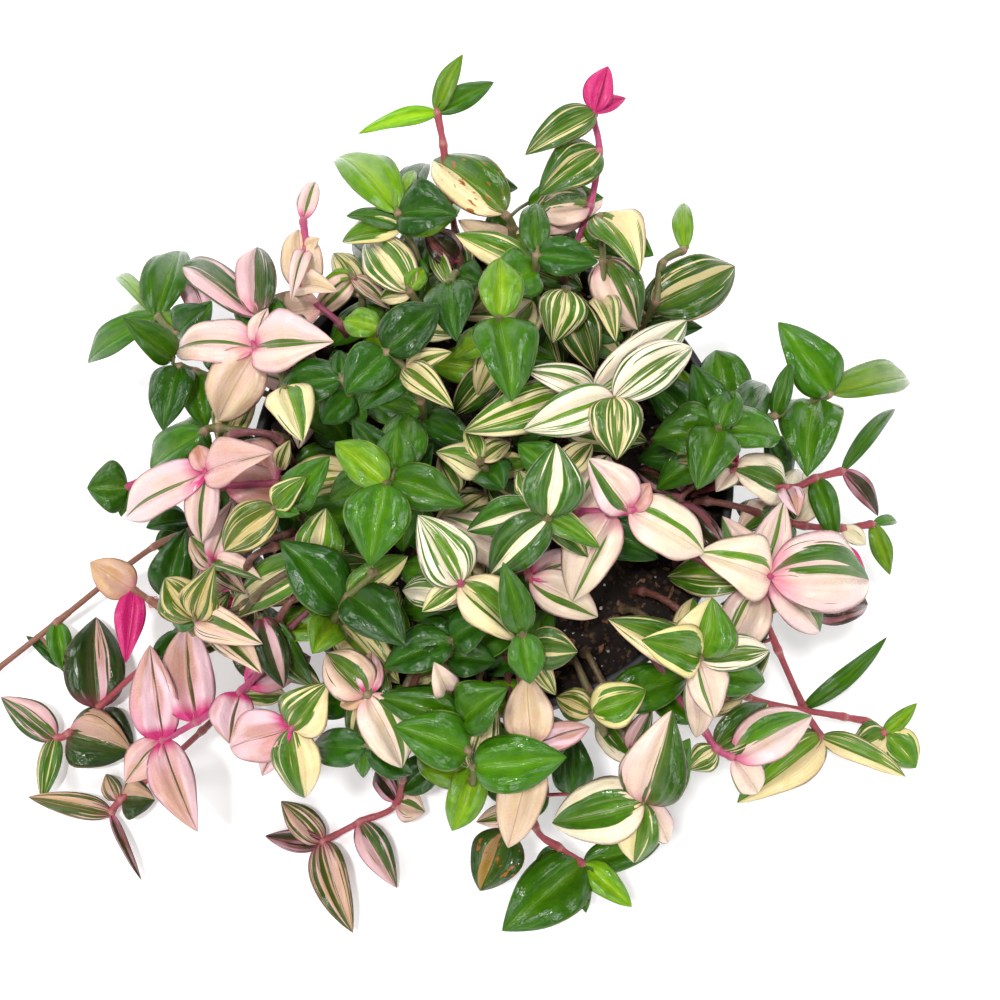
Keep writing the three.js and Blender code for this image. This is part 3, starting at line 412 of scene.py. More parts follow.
def spread(name, per_area, size, shape, seed, coat):
    """Small lumps of one kind, scattered over the top of the soil."""
    lot = Growth(name, Lumps_per_square_metre=("Float", per_area), Lump_size=("Float", size),
                 Lump_shape=("Vector", shape), Seed=("Int", seed))
    facing = lot.node("ShaderNodeSeparateXYZ", {}, {0: lot.node("GeometryNodeInputNormal", {}, {})}, 2)
    upward = lot.node("FunctionNodeCompare", {"operation": "GREATER_THAN"}, {0: facing, 1: 0.5})
    points = lot.node("GeometryNodeDistributePointsOnFaces", {}, {
        "Mesh": lot.given("Ground"), "Selection": upward, "Density": lot.given("Lumps_per_square_metre"),
        "Seed": lot.given("Seed")})
    lump = lot.node("GeometryNodeMeshIcoSphere", {}, {"Radius": 1.0, "Subdivisions": 1})
    long = lot.node("GeometryNodeTransform", {}, {"Geometry": lump, "Scale": lot.given("Lump_shape")})
    turn = lot.node("FunctionNodeRandomValue", {"data_type": "FLOAT_VECTOR"}, {
        0: (-LUMP_TILT, -LUMP_TILT, 0.0), 1: (LUMP_TILT, LUMP_TILT, 2 * math.pi), "Seed": lot.given("Seed")})
    share = lot.node("FunctionNodeRandomValue", {"data_type": "FLOAT"}, {
        2: SMALLEST_LUMP, 3: 1.0, "Seed": lot.given("Seed")}, 1)
    scale = lot.node("ShaderNodeMath", {"operation": "MULTIPLY"}, {0: share, 1: lot.given("Lump_size")})
    lumps = lot.node("GeometryNodeInstanceOnPoints", {}, {
        "Points": points, "Instance": long, "Rotation": turn, "Scale": scale})
    place = lot.node("GeometryNodeInputPosition", {}, {})
    dents = lot.node("ShaderNodeTexNoise", {}, {"Vector": place, "Scale": DENTS}, 1)
    centred = lot.node("ShaderNodeVectorMath", {"operation": "SUBTRACT"}, {0: dents, 1: (0.5, 0.5, 0.5)})
    push = lot.node("ShaderNodeVectorMath", {"operation": "SCALE"}, {
        0: centred, "Scale": lot.given("Lump_size")})
    lot.piece(soil.data.copy(), lumps, coat, push)


peat = Paint("peat_crumb", IOR=1.35)
grit = peat.noise(peat.place(), 900.0, 4.0)
shade = peat.noise(peat.place(), 210.0, 2.0)
peat_colour = peat.mix(peat.step(shade, 0.35, 0.65), (0.006, 0.004, 0.003), (0.11, 0.058, 0.03))
peat.finish(peat.mix(grit * 0.6, peat_colour, (0.016, 0.010, 0.008)), 0.6 + 0.3 * grit, grit, 0.4)
bark = Paint("bark_chip", IOR=1.4)
fibre = bark.noise(bark.scaled(bark.place(), (900.0, 900.0, 2400.0)), 1.0, 4.0)
bark_colour = bark.mix(bark.step(fibre, 0.3, 0.7), (0.07, 0.028, 0.013), (0.30, 0.15, 0.075))
bark.finish(bark_colour, 0.55 + 0.3 * fibre, fibre, 0.4)
stone = Paint("perlite", IOR=1.5)
pits = stone.noise(stone.place(), 1500.0, 4.0)
stone_colour = stone.mix(stone.step(pits, 0.3, 0.7), (0.42, 0.36, 0.30), (0.78, 0.75, 0.70))
stone.finish(stone_colour, 0.7 + 0.2 * pits, pits, 0.3)
spread("soil_crumbs", per_area=70000.0, size=0.0021, shape=(1.0, 0.85, 0.7), seed=4, coat=peat.material)
spread("bark_chips", per_area=9000.0, size=0.0042, shape=(1.0, 0.35, 0.22), seed=7, coat=bark.material)
spread("perlite_grains", per_area=4500.0, size=0.0012, shape=(1.0, 0.9, 0.8), seed=9, coat=stone.material)

# ---- Arrangement ----------------------------------------------------------------------------------
# The plant is 66 leafy shoots, grown from cuttings in one pot. They make a low crown of leaves, and the
# longest trail over the rim and lie along the surface that the pot stands on.

# Each shoot by where it shows in the photograph: its name, its joints from the growing tip down, and its
# leaves. A joint is a pixel, with its height in mm where the shoot hangs below the crown. A leaf is its
# joint's number, the pixel of its tip, its width in pixels and its kind, with the side of the midrib that
# its main band lies on.
photographed = [
    ["green_pair", [[522, 633], [528, 648]], [
        [0, 503, 562, 33, "green"], [0, 530, 684, 36, "green"], [1, 578, 652, 42, "lined"]]],
    ["white_star", [[460, 583], [462, 598]], [
        [0, 418, 515, 56, "banded left"], [0, 518, 640, 52, "cream left"], [0, 422, 612, 24, "cream"]]],
    ["green_heart", [[499, 318], [503, 330]], [[0, 500, 258, 42, "lime"], [0, 512, 402, 62, "green"]]],
    ["white_rib", [[547, 517], [536, 507]], [
        [0, 556, 443, 58, "ribbed right"], [0, 490, 575, 48, "ribbed"], [0, 600, 548, 26, "edged"],
        [0, 588, 557, 26, "lined"], [1, 467, 531, 36, "ribbed left"]]],
    ["blush_star", [[631, 510], [612, 513], [580, 512]], [
        [0, 650, 483, 24, "salmon"], [0, 588, 458, 46, "lens left"], [0, 704, 553, 58, "thread left"],
        [1, 572, 602, 54, "thread left"]]],
    ["leaf_axis", [[386, 484], [396, 472]], [
        [0, 370, 566, 62, "green"], [0, 335, 442, 40, "lime"], [1, 398, 426, 42, "green"],
        [0, 465, 506, 44, "green"], [1, 352, 420, 34, "deep"]]],
    ["white_fan", [[614, 399], [606, 394], [568, 396]], [
        [0, 617, 460, 52, "striped"], [0, 692, 347, 48, "banded"], [0, 523, 430, 46, "banded right"],
        [1, 687, 320, 42, "banded"], [1, 525, 370, 34, "banded"], [2, 463, 432, 46, "striped"]]],
    ["pink_star_right", [[770, 577], [770, 592]], [
        [0, 869, 580, 80, "lens left"], [0, 697, 553, 62, "thread right"], [0, 820, 632, 54, "lens left"],
        [1, 722, 516, 42, "half_pink"], [1, 784, 500, 40, "blush"], [1, 860, 612, 46, "maroon"]]],
    ["cream_crown", [[505, 214], [512, 226]], [[0, 433, 160, 56, "halved left"]]],
    ["crown_tip", [[537, 254], [535, 268]], [
        [0, 535, 203, 30, "green"], [0, 598, 262, 38, "deep"], [1, 492, 290, 52, "green"],
        [1, 455, 234, 34, "halved left"]]],
    ["upper_left_fan", [[398, 212], [402, 226]], [
        [0, 415, 170, 20, "lime"], [0, 335, 160, 48, "fresh"], [0, 458, 216, 56, "deep"],
        [0, 428, 164, 28, "deep"], [1, 346, 216, 22, "green"], [1, 342, 242, 30, "edged"]]],
    ["green_rosette", [[719, 428], [724, 444]], [
        [0, 736, 391, 34, "green"], [0, 697, 490, 50, "green"], [0, 652, 439, 54, "green"],
        [0, 781, 438, 48, "green"], [1, 766, 384, 40, "deep"], [1, 692, 364, 44, "deep"]]],
    ["pink_star_left", [[255, 346], [264, 360]], [
        [0, 268, 308, 20, "blush"], [0, 334, 342, 60, "blush"], [0, 175, 352, 50, "blush"],
        [0, 218, 421, 56, "ivory"]]],
    ["left_axis", [[372, 572], [350, 595], [341, 608], [334, 622]], [
        [1, 405, 646, 54, "deep"], [1, 408, 556, 34, "halved right"], [2, 280, 541, 58, "deep"],
        [3, 312, 654, 38, "lime"]]],
    ["pink_triplet", [[207, 473], [216, 486]], [
        [0, 198, 445, 24, "salmon"], [0, 273, 453, 46, "rose"], [0, 126, 518, 52, "blush"],
        [0, 202, 543, 34, "blush"]]],
    ["glossy_pair", [[386, 352], [404, 368], [420, 400]], [
        [0, 440, 305, 50, "deep"], [0, 345, 394, 48, "deep"], [1, 454, 409, 30, "straw"],
        [1, 360, 410, 40, "deep"], [1, 452, 352, 26, "straw"]]],
    ["front_green", [[474, 766], [473, 780]], [[0, 567, 757, 56, "green"], [1, 452, 831, 38, "lime"]]],
    ["front_left_green", [[468, 752], [461, 722], [447, 690]], [
        [0, 394, 726, 56, "green"], [1, 508, 688, 52, "green"], [1, 377, 697, 44, "green"],
        [2, 434, 662, 28, "white"]]],
    ["striped_fan", [[645, 801], [652, 790]], [
        [0, 634, 863, 40, "halved right"], [0, 672, 710, 62, "half_pink left"], [0, 552, 823, 62, "core"],
        [0, 690, 738, 42, "green"], [0, 668, 843, 26, "white"]]],
    ["striped_upper_left", [[409, 290], [416, 302]], [
        [0, 424, 268, 22, "lime"], [0, 368, 240, 48, "striped"], [0, 380, 299, 22, "cream"],
        [1, 352, 244, 36, "deep"]]],
    ["blue_green", [[449, 283], [456, 274]], [[0, 457, 342, 46, "deep"], [1, 486, 284, 32, "deep"]]],
    ["left_peach_tip", [[366, 696], [378, 682]], [
        [0, 340, 706, 22, "peach"], [0, 326, 653, 50, "candy right"], [0, 402, 768, 50, "thread"],
        [0, 372, 652, 26, "pink"]]],
    ["half_peach", [[292, 728], [302, 716]], [
        [0, 328, 683, 50, "halved right"], [0, 305, 798, 46, "halved left"], [0, 230, 748, 50, "pink"],
        [1, 262, 776, 28, "pink"]]],
    ["cream_left", [[285, 388], [282, 374]], [[0, 303, 442, 46, "cream"]]],
    ["centre_right_halves", [[566, 290], [572, 304]], [
        [0, 553, 343, 46, "striped left"], [1, 595, 372, 42, "lined"]]],
    ["right_halves", [[600, 217], [603, 264], [600, 292]], [
        [0, 640, 272, 50, "halved left"], [1, 638, 330, 50, "half_pink right"],
        [2, 616, 342, 28, "straw"]]],
    ["peach_column", [[532, 745], [534, 760]], [
        [0, 527, 675, 48, "ivory"], [0, 590, 727, 28, "pink"], [1, 508, 848, 46, "ivory"],
        [1, 572, 726, 40, "deep"]]],
    ["upright_cream", [[700, 657], [704, 674]], [
        [0, 641, 640, 50, "edged"], [0, 712, 597, 60, "halved left"], [0, 770, 650, 36, "banded left"],
        [0, 714, 718, 40, "thread"], [0, 608, 619, 44, "halved left"], [1, 765, 682, 44, "green"],
        [1, 696, 738, 34, "white"]]],
    ["blush_lower_right", [[733, 757], [716, 748], [704, 730]], [
        [0, 812, 716, 50, "lens left"], [0, 758, 793, 34, "white"], [1, 768, 703, 42, "lined"],
        [1, 688, 769, 28, "striped"]]],
    ["olive_fan", [[196, 618], [194, 632]], [
        [0, 215, 565, 38, "olive"], [0, 165, 578, 44, "olive"], [0, 263, 644, 36, "candy"],
        [1, 262, 674, 34, "candy"], [0, 172, 622, 24, "green"]]],
    ["grey_blush", [[212, 560], [204, 572]], [
        [0, 233, 500, 26, "blush"], [0, 262, 580, 24, "half_pink"], [1, 246, 594, 26, "dusky"],
        [1, 190, 536, 30, "candy"]]],
    ["yellow_stripe", [[276, 507], [290, 504]], [
        [0, 306, 477, 26, "edged"], [0, 224, 551, 44, "olive"], [1, 330, 456, 40, "green"],
        [0, 300, 514, 20, "green"]]],
    ["low_white", [[530, 578], [524, 562]], [[0, 598, 617, 42, "thread"], [0, 592, 560, 30, "blush"]]],
    ["yellow_pair", [[592, 712], [602, 728]], [[0, 646, 690, 44, "edged"], [0, 556, 697, 32, "olive"]]],
    ["centre_small", [[480, 460], [486, 470]], [
        [0, 465, 428, 20, "edged"], [0, 510, 442, 24, "straw"], [1, 504, 490, 42, "deep"],
        [1, 436, 452, 38, "cream"]]],
    ["deep_left", [[342, 378], [350, 392]], [
        [0, 340, 350, 20, "deep"], [0, 275, 391, 44, "deep"], [1, 322, 424, 38, "deep"],
        [1, 362, 430, 26, "green"]]],
    ["lime_cream", [[379, 330], [388, 338]], [[0, 343, 321, 32, "lime"]]],
    ["striped_light", [[318, 562], [326, 572]], [
        [0, 326, 508, 46, "striped"], [0, 232, 617, 46, "striped"]]],
    ["cream_behind", [[560, 474], [566, 484]], [[0, 518, 444, 36, "green"], [0, 592, 443, 30, "straw"]]],
    ["shaded_centre", [[452, 640], [448, 655]], [
        [0, 490, 620, 44, "deep"], [0, 384, 668, 46, "deep"], [0, 410, 636, 44, "deep"],
        [1, 496, 662, 42, "deep"]]],
    ["dusky_pair", [[262, 618], [256, 606]], [
        [0, 284, 688, 34, "dark_rib left"], [0, 312, 686, 34, "lined"]]],
    ["dark_lower_left", [[368, 745], [386, 740]], [
        [0, 312, 748, 38, "deep"], [0, 363, 778, 16, "green"], [0, 412, 774, 32, "deep"]]],
    ["peach_blade", [[733, 470], [724, 482]], [[0, 788, 497, 48, "core"], [0, 716, 492, 22, "white"]]],
    ["right_pair", [[830, 394], [815, 401], [775, 416]], [
        [0, 908, 380, 38, "lime"], [0, 778, 322, 50, "green"], [1, 807, 477, 60, "green"],
        [2, 790, 362, 20, "green"]]],
    ["right_runner", [[842, 471], [816, 478], [786, 488]], [
        [0, 895, 409, 16, "green"], [0, 878, 516, 22, "maroon"], [1, 836, 545, 26, "green"],
        [2, 798, 516, 26, "pink"]]],
    ["right_tip", [[872, 524], [842, 528], [806, 526]], [
        [0, 890, 575, 20, "lime"], [0, 897, 522, 12, "green"], [1, 866, 545, 18, "pale"]]],
    ["striped_wing", [[258, 315], [268, 328]], [
        [0, 257, 247, 40, "lilac left"], [0, 183, 267, 36, "lilac left"]]],
    ["pink_bud", [[303, 220], [306, 250], [300, 286]], [
        [0, 316, 182, 20, "blush"], [1, 291, 302, 18, "blush"], [1, 320, 238, 14, "ivory"],
        [2, 338, 292, 28, "ivory"]]],
    ["small_lime", [[352, 277], [362, 288]], [
        [0, 325, 278, 14, "lime"], [0, 390, 309, 20, "candy"], [0, 314, 316, 28, "candy"]]],
    ["far_left_dark", [[158, 317], [178, 334]], [
        [0, 117, 279, 16, "lime"], [0, 180, 251, 46, "green"], [0, 88, 363, 30, "green"],
        [1, 126, 322, 38, "lime"], [1, 208, 306, 34, "deep"]]],
    ["left_drop", [[179, 366], [196, 372]], [[0, 163, 431, 44, "deep"], [1, 206, 430, 32, "green"]]],
    ["left_side_green", [[203, 432], [218, 428]], [[0, 151, 472, 38, "green"]]],
    ["tall_sprig", [[437, 112, 152], [443, 143, 146], [447, 180, 138]], [
        [0, 463, 54, 20, "lime"], [0, 494, 82, 24, "green"], [0, 358, 134, 18, "fresh"]]],
    ["magenta_tip", [[594, 114, 168], [599, 150, 162], [590, 206, 148]], [
        [0, 608, 66, 28, "magenta"], [0, 626, 98, 16, "magenta"], [0, 525, 155, 34, "lined"],
        [1, 538, 196, 46, "lined"], [2, 534, 214, 48, "half_pink left"]]],
    ["right_blade", [[684, 250], [662, 264], [656, 300]], [
        [0, 684, 203, 20, "lime"], [2, 735, 266, 60, "lined left"]]],
    ["magenta_runner", [[162, 741, 58], [196, 722, 66], [240, 692, 84]], [
        [0, 150, 645, 48, "pink"], [0, 198, 832, 42, "pink"], [0, 125, 783, 36, "rose"],
        [1, 187, 625, 56, "pink"], [2, 229, 744, 44, "pink"]]],
    ["left_bud", [[128, 487, 70], [152, 475, 80], [196, 456, 96]], [
        [0, 87, 488, 48, "green"], [0, 121, 517, 14, "green"]]],
    ["peach_left", [[134, 590, 50], [150, 600, 56], [176, 612, 68]], [
        [0, 90, 562, 38, "peach"], [0, 126, 663, 28, "magenta"], [1, 160, 606, 12, "pink"]]],
    ["front_runner", [[583, 864, 50], [560, 848, 58], [535, 826, 68]], [
        [0, 502, 931, 62, "green"], [0, 632, 907, 28, "fresh"], [0, 586, 913, 18, "green"],
        [0, 660, 844, 32, "green"], [1, 540, 872, 24, "deep"]]],
    ["rusty_leaf", [[508, 830, 56], [516, 812, 64]], [
        [0, 480, 891, 50, "rusty"], [1, 476, 822, 22, "candy"]]],
    ["right_trailer", [[821, 737, 44], [804, 708, 50], [778, 650, 66], [764, 618, 78]], [
        [0, 737, 803, 50, "halved left"], [0, 906, 777, 26, "halved right"], [1, 887, 637, 18, "green"]]],
    ["right_trailer_tip", [[884, 733, 40], [868, 722, 42], [845, 717, 46], [748, 697, 70]], [
        [0, 917, 703, 16, "lime"], [0, 848, 750, 36, "halved"], [0, 916, 768, 38, "edged"]]],
    ["lower_left_runner", [[56, 738, 6], [68, 734, 7], [98, 708, 10], [150, 662, 34]], [
        [0, 1, 697, 32, "lilac right"], [0, 42, 802, 22, "lined"], [1, 132, 752, 58, "dark_half left"],
        [2, 96, 617, 58, "dark_rib right"]]],
    ["left_runner", [[-14, 678, 8], [57, 622, 12], [155, 546, 40]], [
        [0, -46, 668, 22, "green"], [0, -30, 708, 24, "green"], [1, 66, 674, 24, "green"]]],
    ["lowest_left_tip", [[111, 813, 5], [122, 799, 6], [168, 762, 12]], [
        [0, 28, 797, 24, "dusky"], [0, 142, 881, 10, "maroon"], [1, 155, 800, 40, "dark_half"]]],
    ["lower_runner", [[322, 842, 5], [360, 822, 6], [396, 804, 16]], [
        [0, 353, 933, 36, "dusky"], [0, 281, 801, 30, "dusky"], [0, 265, 836, 22, "maroon"],
        [1, 397, 888, 30, "lilac right"], [2, 425, 812, 30, "candy"]]],
]

# The dome of the crown, and how the shoots and their leaves lie in layers under it.
CROWN_TOP = 0.200
CROWN_EDGE = 0.014
CROWN_REACH = 0.240
DOME_POWER = 0.8
DOME_ROUNDS = 8
LAYER = 0.003
JOINT_FALL = 0.008
RANK_TILT = [0.14, 0.06, 0, -0.05, -0.1, -0.15]
TILTS = [0, -0.12, 0.12, -0.25, 0.25, -0.4, 0.4, -0.55, -0.7]
RANK_STEP = 0.0016
LYING_LAYER = 0.4
LYING_RANK = 0.25
STEM_RADIUS = 0.0019
LOWEST_JOINT = STEM_RADIUS + 0.0014
LOWEST_TIP = 0.003
UP = np.array([0.0, 0.0, 1.0])


def crown_height(point):
    """The height of the crown's dome over a point."""
    reach = min(math.hypot(point[0], point[1]) / CROWN_REACH, 1)
    return CROWN_EDGE + (CROWN_TOP - CROWN_EDGE) * math.cos(reach * math.pi / 2) ** DOME_POWER


def on_crown(px, py, offset):
    """The point at that height over the dome that the lens shows at a pixel."""
    point = from_photo(px, py, CROWN_TOP)
    for _ in range(DOME_ROUNDS):
        point = from_photo(px, py, crown_height(point) + offset)
    return point


def joint_point(pixel, order, drop):
    """A joint's place, once its shoot has sunk by so many layers under the others."""
    if len(pixel) == 2:
        return on_crown(*pixel, -drop * LAYER - order * JOINT_FALL)
    height = max(pixel[2] / 1000 - LYING_LAYER * drop * LAYER, LOWEST_JOINT)
    return from_photo(pixel[0], pixel[1], height)


# Each node's own corners, and where the lens shows them.
corners, owners = [], []
for name, node in frame["nodes"].items():
    if not name.startswith("stem_"):
        continue
    places = np.empty(3 * len(node.data.vertices), np.float32)
    node.data.vertices.foreach_get("co", places)
    corners.append(places.reshape(-1, 3).astype(float))
    owners += [name] * len(corners[-1])
corners = np.vstack(corners)
owners = np.array(owners)
shown, _ = to_photo(corners)


def laid(shoot, drop):
    """The joints, leaf bases and heights of a shoot that has sunk by so many layers."""
    _, pixels, rows = shoot
    joints = [joint_point(pixel, order, drop) for order, pixel in enumerate(pixels)]
    lying = len(pixels[0]) == 3
    step = LYING_RANK * RANK_STEP if lying else RANK_STEP
    leaves = []
    for blade, (joint, px, py, _, _) in enumerate(rows):
        rank = sum(row[0] == joint for row in rows[:blade])
        base = joints[joint] - UP * step * rank
        reach = from_photo(px, py, joints[joint][2]) if lying else on_crown(px, py, -drop * LAYER)
        span = np.linalg.norm(reach - base)
        own_tilt = RANK_TILT[min(blade, len(RANK_TILT) - 1)]
        heights = [max(reach[2] + (own_tilt + tilt) * span, LOWEST_TIP) for tilt in TILTS]
        leaves.append((base, heights))
    return joints, leaves

# ---- Stems ----------------------------------------------------------------------------------------
# Round, fleshy stems with a swollen joint under every leaf, where the leaf's sheath holds the stem, and
# with bare joints lower down. They flush from green to red or magenta towards the light, and each goes down
# under the crown, or up over the rim and in again, and is rooted in the soil by its lower end.
STEM_SIDES = 12
CURVE_POINTS = 201
CROSSWAYS = (0.31, 0.95, 0.05)
STEM_STEP = 0.030
STEM_CORE = 0.00155
JOINT_SWELLING, SWELLING_LENGTH = 0.0006, 0.0018
SHEATH, SHEATH_LENGTH = 0.00035, 0.0085
RING_LENGTH = 0.0009
BARE_SPACING = 0.026
TIP_LENGTH = 0.003
TIP_DROP = 0.006
TAPER_LENGTH = 0.004
HOLE_DEPTH = 0.014
HOLE_KNOT = 0.005
FIT_GAP = 0.00035
INSIDE = 0.014
HOLE_CIRCLE = RIM_INNER - INSIDE
# How far a hole may lie from the spot under its joint, in mm, and how far out that spot may be.
HOLE_RINGS = (0, 9, 18, 28)
HOLE_TURNS = 8
OUTERMOST_SHARE = 0.94
# The way over the rim: how high its crest is, and how far from the lip it passes.
RIM_MARGIN = 0.002
CREST = POT_HEIGHT + 0.008
CREST_STEP = 0.003
CREST_RISE = 0.002
HANGING = 0.004
OUT_BELOW_LIP = 0.018
OUT_AT_LIP = 0.005
SWING = 0.009
sap = Paint("stem_skin", IOR=1.42)
skin_tone = sap.stored("tone", "Color")
skin_trait = sap.stored("trait")
ring_mark = sap.part(skin_trait, "Y")
streak = sap.noise(sap.scaled(sap.place(), (900.0, 900.0, 160.0)), 1.0, 3.0)
patch = sap.noise(sap.place(), 120.0, 3.0)
skin = sap.mix(sap.step(streak, 0.35, 0.75) * 0.35, skin_tone, (0.30, 0.17, 0.12))
skin = sap.mix(sap.step(patch, 0.5, 0.8) * 0.4, skin, (0.05, 0.028, 0.014))
skin = sap.mix(ring_mark * 0.6, skin, (0.42, 0.20, 0.16))
sap.finish(skin, 0.34 + 0.2 * patch, streak + 0.4 * patch, 0.25)

MAGENTA = (0.42, 0.035, 0.15)
RED = (0.31, 0.038, 0.06)
BROWN = (0.20, 0.075, 0.045)
GREENISH = (0.105, 0.125, 0.032)
LOWER_BROWN = (0.072, 0.036, 0.020)
FADE_LENGTH = 0.04
STEM_TONES = {
    MAGENTA: ["white_star", "blush_star", "pink_star_right", "pink_star_left", "pink_triplet", "half_peach",
              "blush_lower_right", "magenta_runner", "magenta_tip", "pink_bud", "left_bud", "grey_blush"],
    RED: ["peach_column", "low_white", "tall_sprig", "lower_left_runner", "lowest_left_tip", "lower_runner",
          "right_trailer", "right_trailer_tip", "front_runner", "right_runner", "right_tip", "rusty_leaf",
          "peach_blade"],
    BROWN: ["left_runner", "peach_left"],
}


def stem_tone(name):
    """The colour of a stem's young end: greenish, unless its shoot is named above."""
    return next((tone for tone, names in STEM_TONES.items() if name in names), GREENISH)


def curve_at(knots, t):
    """Points on the smooth curve through the knots, at parameters from 0 to the last knot."""
    ends = np.vstack([2 * knots[0] - knots[1], knots, 2 * knots[-1] - knots[-2]])
    span = np.minimum(t.astype(int), len(knots) - 2)
    f = (t - span)[:, None]
    before, start, end, after = (ends[span + i] for i in range(4))
    leave, arrive = 0.5 * (end - before), 0.5 * (after - start)
    cubic = 2 * start - 2 * end + leave + arrive
    square = -3 * start + 3 * end - 2 * leave - arrive
    return cubic * f ** 3 + square * f ** 2 + leave * f + start


def even_points(knots, step):
    """The curve's points at even distances, about a step apart, and its length."""
    t = np.linspace(0, len(knots) - 1, CURVE_POINTS)
    fine = curve_at(knots, t)
    run = np.concatenate([[0], np.cumsum(np.linalg.norm(np.diff(fine, axis=0), axis=1))])
    count = math.ceil(run[-1] / step)
    return curve_at(knots, np.interp(run[-1] * np.linspace(0, 1, count + 1), run, t)), run[-1]


def holes(last):
    """Where the stem may stand in the soil: under its lowest seen joint, or in rings round that."""
    inward = min(HOLE_CIRCLE / max(math.hypot(last[0], last[1]), 0.001), OUTERMOST_SHARE)
    for ring in HOLE_RINGS:
        for turn in range(1 if ring == 0 else HOLE_TURNS):
            angle = turn * 2 * math.pi / HOLE_TURNS + ring
            x = last[0] * inward + 0.001 * ring * math.cos(angle)
            y = last[1] * inward + 0.001 * ring * math.sin(angle)
            radius = math.hypot(x, y)
            if radius <= HOLE_CIRCLE + 1e-9:
                yield np.array([x, y, soil_height(radius)])


def route(joints, hole, bend):
    """The knots of a stem from just over its tip down to the end of its hole."""
    tip, last = joints[0], joints[-1]
    knots = [joint.copy() for joint in joints]
    upright = tip[2] - joints[1][2] > TIP_DROP
    ending = UP if upright else (tip - joints[1]) / np.linalg.norm(tip - joints[1])
    if upright:
        knots.insert(1, tip - UP * TIP_DROP)
    knots.insert(0, tip + ending * TIP_LENGTH)
    distance = math.hypot(last[0], last[1])
    if distance > RIM_INNER - RIM_MARGIN:
        crest = max(CREST + CREST_STEP * bend, 0.5 * (last[2] + CREST))

        def beside(radius, height):
            return np.array([last[0] * radius / distance, last[1] * radius / distance, height])

        if last[2] < POT_HEIGHT + HANGING:
            knots.append(beside(RIM_RADIUS + OUT_BELOW_LIP, 0.5 * (last[2] + POT_HEIGHT)))
            knots.append(beside(RIM_RADIUS + OUT_AT_LIP, crest))
        knots.append(beside(RIM_RADIUS - INSIDE, crest + CREST_RISE))
    else:
        middle = 0.5 * (last + hole)
        swing = SWING if bend else 0
        middle[:2] += swing * np.array([math.cos(bend * math.pi / 3), math.sin(bend * math.pi / 3)])
        knots.append(middle)
    knots += [hole + UP * 0.5 * HOLE_DEPTH, hole - UP * (HOLE_DEPTH - HOLE_KNOT)]
    knots.append(hole - UP * (HOLE_DEPTH - FIT_GAP))
    return np.array(knots)


def tube(points, radii):
    """A closed round stem along points, with rings that don't twist."""
    ways = np.gradient(points, axis=0)
    ways /= np.linalg.norm(ways, axis=1)[:, None]
    side = np.cross(ways[0], CROSSWAYS)
    rings = []
    angles = 2 * math.pi * np.arange(STEM_SIDES) / STEM_SIDES
    for point, way, radius in zip(points, ways, radii):
        side = side - way * (side @ way)
        side /= np.linalg.norm(side)
        other = np.cross(way, side)
        rings.append(point + radius * (np.cos(angles)[:, None] * side + np.sin(angles)[:, None] * other))
    return ringed(points[0], rings, points[-1])


def stem_radii(spine, joints, length):
    """The stem's radius at each point: swollen joints, a sheath under each, and a thin tip."""
    run = np.linspace(0, length, len(spine))
    marks = [run[np.argmin(np.linalg.norm(spine - joint, axis=1))] for joint in joints]
    while marks[-1] + BARE_SPACING < length - HOLE_DEPTH:
        marks.append(marks[-1] + BARE_SPACING)
    radii = np.full(len(run), STEM_CORE)
    ring = np.zeros(len(run))
    for mark in marks:
        past = run - mark
        radii += JOINT_SWELLING * np.exp(-(past / SWELLING_LENGTH) ** 2)
        radii += SHEATH * ((past > 0) & (past < SHEATH_LENGTH)) * (1 - 0.4 * past / SHEATH_LENGTH)
        ring = np.maximum(ring, np.exp(-(past / RING_LENGTH) ** 2))
    radii *= np.clip(0.25 + run / TAPER_LENGTH, 0, 1)
    return radii, ring, [np.argmin(np.abs(run - mark)) for mark in marks]

# ---- Leaves ---------------------------------------------------------------------------------------
# Each leaf is an egg-shaped, pointed blade with its edges raised a little round the midrib. A green, pale or
# pink ground carries stripes that run from base to tip, as the veins do. The lower face is duller. Its base
# closes round the stem's joint.
LEAF_BREADTH = 1.08
LEAF_THICKNESS = 0.00042
LEAF_ARCH = 0.11
LEAF_FOLD = 0.27
LEAF_ROLL = 0.16
SHOOT_ROLL, BLADE_ROLL = 12.9898, 4.1414
WIDEST_AT = 0.36
EDGE_WAVER = 0.03
EDGE_WAVE = 0.08
BULGE = 0.28
SWAY = 0.02
BLADE_ROWS = 23
BLADE_COLUMNS = 15

